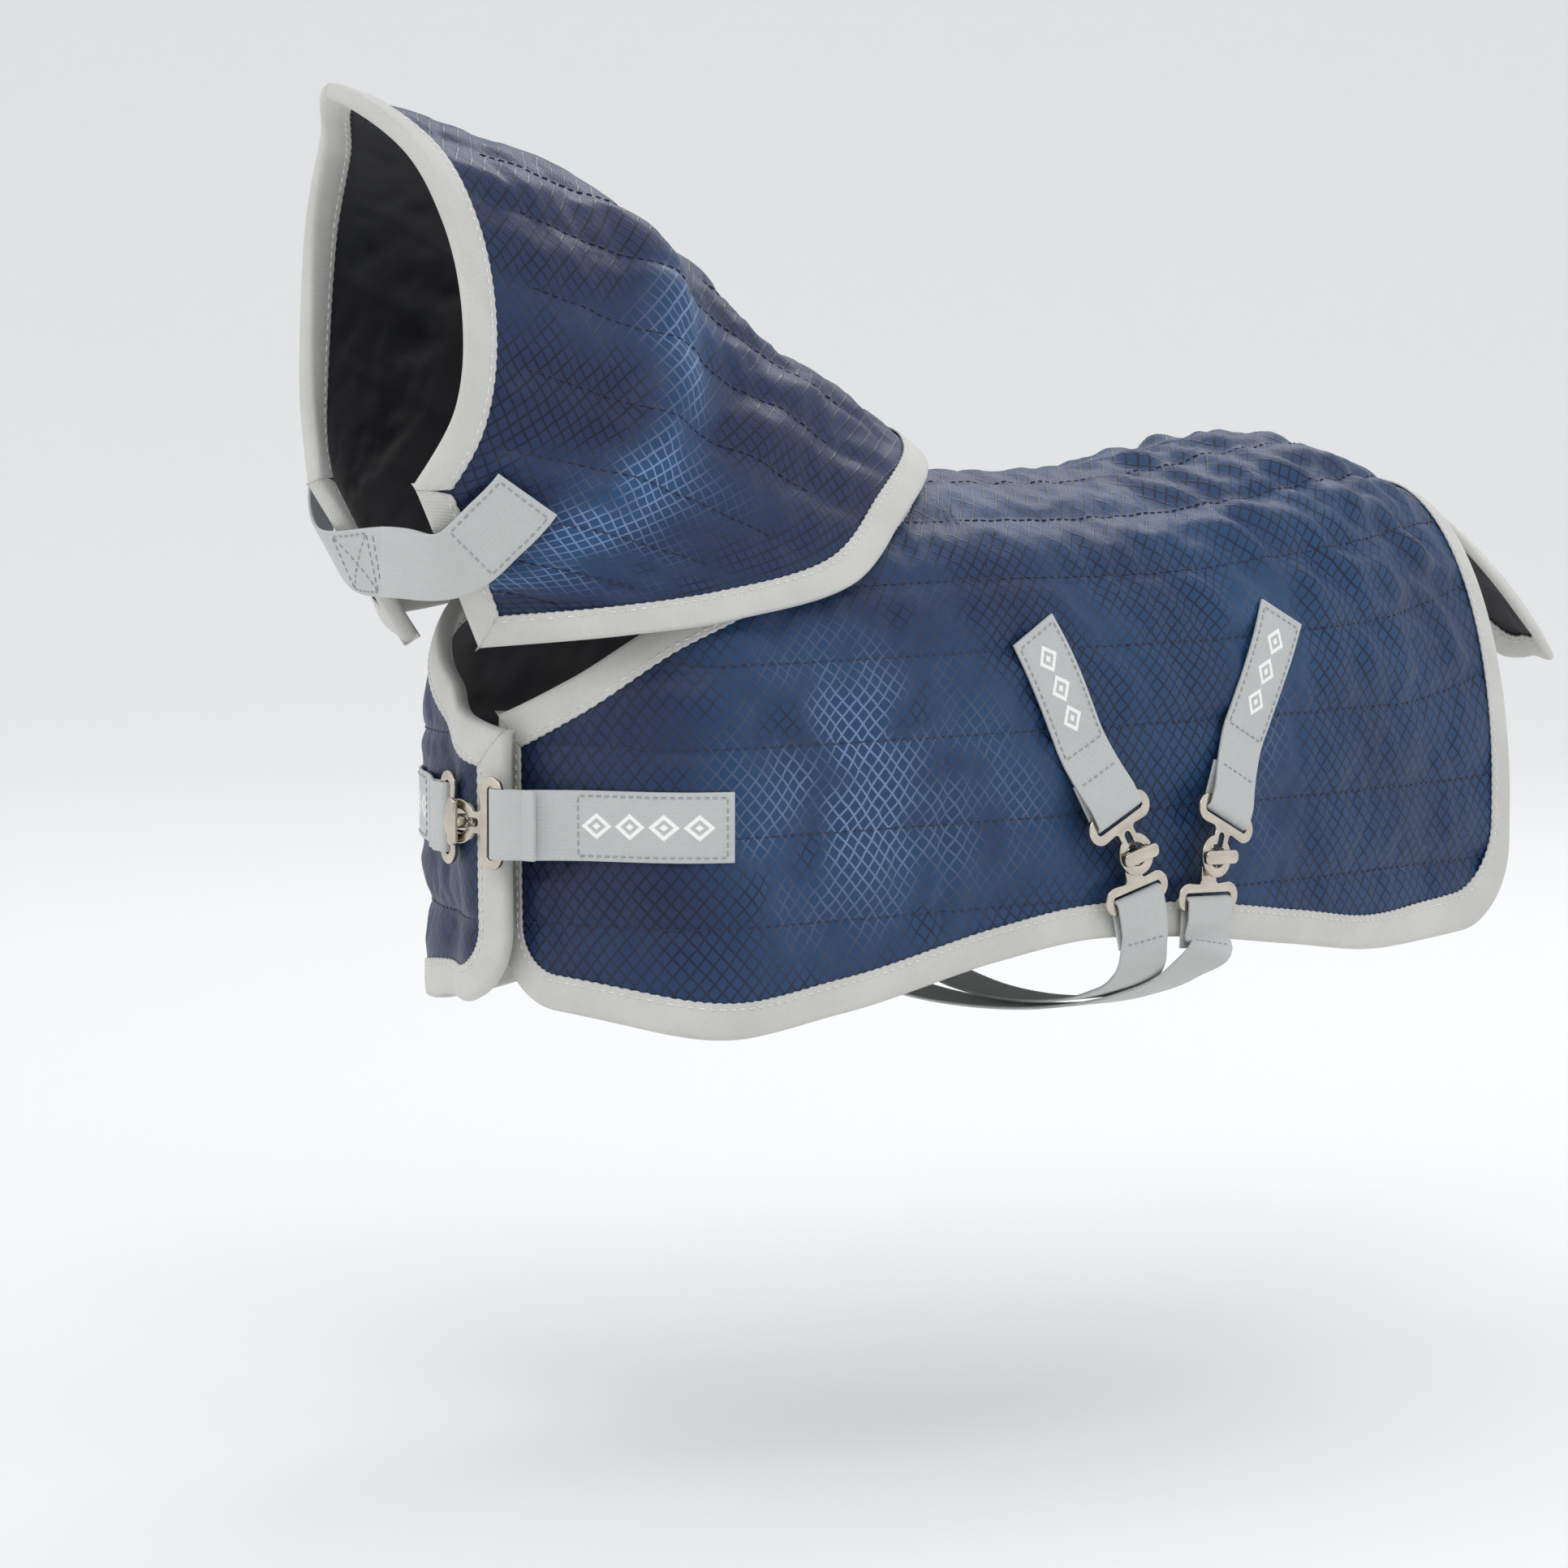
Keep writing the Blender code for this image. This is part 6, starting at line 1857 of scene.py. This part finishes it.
class RUG_OT_tail_flap(bpy.types.Operator):
    """Makes the bound and lined tail flap"""

    bl_idname = "turnout_rug.tail_flap"
    bl_label = "Tail flap"

    def execute(self, context):
        hinge_x = float(flap_base(0.0, 0.0)[0])

        def on_hinge(item, *nodes):
            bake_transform(item)
            if nodes:
                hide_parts(*nodes)

        tip = FLAP_LENGTH - FLAP_CORNER * (1 - np.sin(np.linspace(0, math.pi / 2, 9)))
        backs = np.concatenate([np.linspace(-FLAP_TUCK, FLAP_LENGTH - FLAP_CORNER, 42)[:-1], tip])
        shares = np.linspace(-1, 1, 33)
        back, share = np.meshgrid(backs, shares)
        across = share * flap_tip(back)
        edge = np.minimum((1 - np.abs(share)) * flap_tip(back), FLAP_LENGTH - back)
        soft = ease((edge - 5) / 8)
        relief = (0.7 * ripple(back, across, 20, 22, 5) - 0.9 * hump(across, 0, 2.0)) * soft
        # No painted sheen on the flap's threads, and its ground painted mostly in shade (0.2).
        place = np.stack([back + 700, across, 0 * back, 0.2 + 0 * back], axis=-1)
        stack = SHELL_THICK + PLY_GAP + LINING_THICK
        shell = closed_sheet(
            "flap_outer", flap_point(back, across, relief), flap_point(back, across, relief - SHELL_THICK), place,
            "nylon_ripstop",
        )
        below = relief - SHELL_THICK - 0.1
        lining = closed_sheet(
            "flap_inner", flap_point(back, across, below), flap_point(back, across, below - LINING_THICK), place,
            "nylon_taffeta",
        )
        area = cut_area(flap_point(back, across))
        on_hinge(shell, "tail_flap_shell")
        on_hinge(lining, "tail_flap_lining")
        side = np.stack([backs, -flap_tip(backs)], axis=1)
        end_row = [(FLAP_LENGTH, a) for a in np.linspace(-flap_tip(FLAP_LENGTH), flap_tip(FLAP_LENGTH), 20)[1:-1]]
        path = evenly(np.concatenate([side, np.array(end_row), side[::-1] * np.array([1.0, -1.0])]))
        inward = left_of(path)
        tape = sweep_tape(
            "flap_edge", flap_point, path, inward, np.full(len(path), NO_LIMIT), stack, FLAP_BINDING_WIDTH
        )
        on_hinge(tape, "tail_flap_binding")
        rows = edge_stitches(path, inward, flap_point, flap_normal, stack, FLAP_BINDING_WIDTH)
        on_hinge(stitches("flap_edge_stitches", rows, "pale_thread"))
        return {"FINISHED"}


# ---------------------------------------------------------------- stage
def area_light(name, place, target, size, power):
    """A round soft light aimed at a target."""
    lamp = bpy.data.lights.new(name, "AREA")
    lamp.shape = "DISK"
    lamp.size = size
    lamp.energy = power
    item = bpy.data.objects.new(name, lamp)
    item.location = place
    item.rotation_euler = (Vector(target) - Vector(place)).to_track_quat("-Z", "Y").to_euler()
    bpy.context.scene.collection.objects.link(item)


class RUG_OT_stage(bpy.types.Operator):
    """Sets the floor, the soft studio lights and the camera"""

    bl_idname = "turnout_rug.stage"
    bl_label = "Stage"

    def execute(self, context):
        scene = context.scene
        stage = scene.rug_stage
        floor_look = new_look("studio_floor", lambda node: {"Base Color": rgba(stage.floor), "Roughness": 0.9})
        turn = math.radians(-VIEW_AZIMUTH)
        ahead = np.array([math.sin(turn), math.cos(turn), 0.0])
        beside = np.array([ahead[1], -ahead[0], 0.0])
        bend = np.radians(np.linspace(0, 90, 25))
        sweep = [(-5.0, 0.0), *zip(2.5 + 1.5 * np.sin(bend), 1.5 - 1.5 * np.cos(bend)), (4.0, 5.0)]
        points = np.array([
            ahead * far + beside * across + np.array([0, 0, stage.floor_height + up])
            for far, up in sweep for across in (-6.0, 6.0)
        ])
        floor = make_piece("studio_floor", points / MM, grid_faces(len(sweep), 2).tolist(), floor_look)
        world = bpy.data.worlds.new("studio")
        scene.world = world
        world.use_nodes = True
        tree = world.node_tree
        node = partial(add_node, tree)
        facing = node("TexCoord", out="Generated")
        behind = node("VectorMath", {0: facing, 1: (*-ahead[:2], 0.0)}, "Value", operation="DOT_PRODUCT")
        dim = node("MapRange", {"Value": behind, "From Min": 0.72, "From Max": 0.96}, **SMOOTH)
        sky = node("Mix", {0: dim, 6: rgba(linear("#F7F8FB")), 7: rgba(linear("#8F939C"))}, 2, **COLOURS)
        set_inputs(tree, tree.nodes["Background"], {"Color": sky, "Strength": 1.0})
        aim = (-0.02, 0.0, -0.03)
        for name, place, size, power in (
            ("key", (-1.1, -1.5, 1.7), 1.1, 9), ("fill", (-2.2, 0.6, 0.7), 1.6, 2.5), ("back", (1.4, 0.9, 1.5), 1.0, 9),
        ):
            area_light(name, place, aim, size, power)
        camera = bpy.data.cameras.new("camera")
        camera.lens = stage.lens
        camera.clip_start = 0.05
        item = bpy.data.objects.new("camera", camera)
        level = Vector(ahead)
        item.location = Vector(VIEW_TARGET) - level * VIEW_DISTANCE
        look = level * math.cos(math.radians(VIEW_TILT)) - Vector((0, 0, math.sin(math.radians(VIEW_TILT))))
        item.rotation_euler = look.to_track_quat("-Z", "Y").to_euler()
        scene.collection.objects.link(item)
        scene.camera = item
        scene.view_settings.view_transform = "Standard"
        return {"FINISHED"}


# ---------------------------------------------------------------- add-on
OPERATORS = (
    RUG_OT_stage, RUG_OT_body_panels, RUG_OT_neck_cover, RUG_OT_bindings, RUG_OT_seam_tapes, RUG_OT_webbing,
    RUG_OT_throat, RUG_OT_clips, RUG_OT_tail_flap,
)
SETTINGS = {
    "rug_cloth": RugClothSettings, "rug_trim": RugTrimSettings,
    "rug_hardware": RugHardwareSettings, "rug_stage": RugStageSettings,
}


class RUG_PT_panel(bpy.types.Panel):
    """Lists the rug's pieces and its settings"""

    bl_idname = "RUG_PT_panel"
    bl_label = "Turnout Rug"
    bl_space_type = "VIEW_3D"
    bl_region_type = "UI"
    bl_category = "Turnout Rug"

    def draw(self, context):
        for operator in OPERATORS:
            self.layout.operator(operator.bl_idname)
        for name, group in SETTINGS.items():
            box = self.layout.box()
            for key in group.__annotations__:
                box.prop(getattr(context.scene, name), key)


def register():
    for group in SETTINGS.values():
        bpy.utils.register_class(group)
    for operator in OPERATORS:
        bpy.utils.register_class(operator)
    bpy.utils.register_class(RUG_PT_panel)
    for name, group in SETTINGS.items():
        setattr(bpy.types.Scene, name, PointerProperty(type=group))


def unregister():
    for name in SETTINGS:
        delattr(bpy.types.Scene, name)
    for kind in (RUG_PT_panel, *reversed(OPERATORS), *SETTINGS.values()):
        bpy.utils.unregister_class(kind)


def main():
    register()
    for operator in OPERATORS:
        getattr(bpy.ops.turnout_rug, operator.bl_idname.split(".")[1])()
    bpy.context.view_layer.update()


if __name__ == "__main__":
    main()
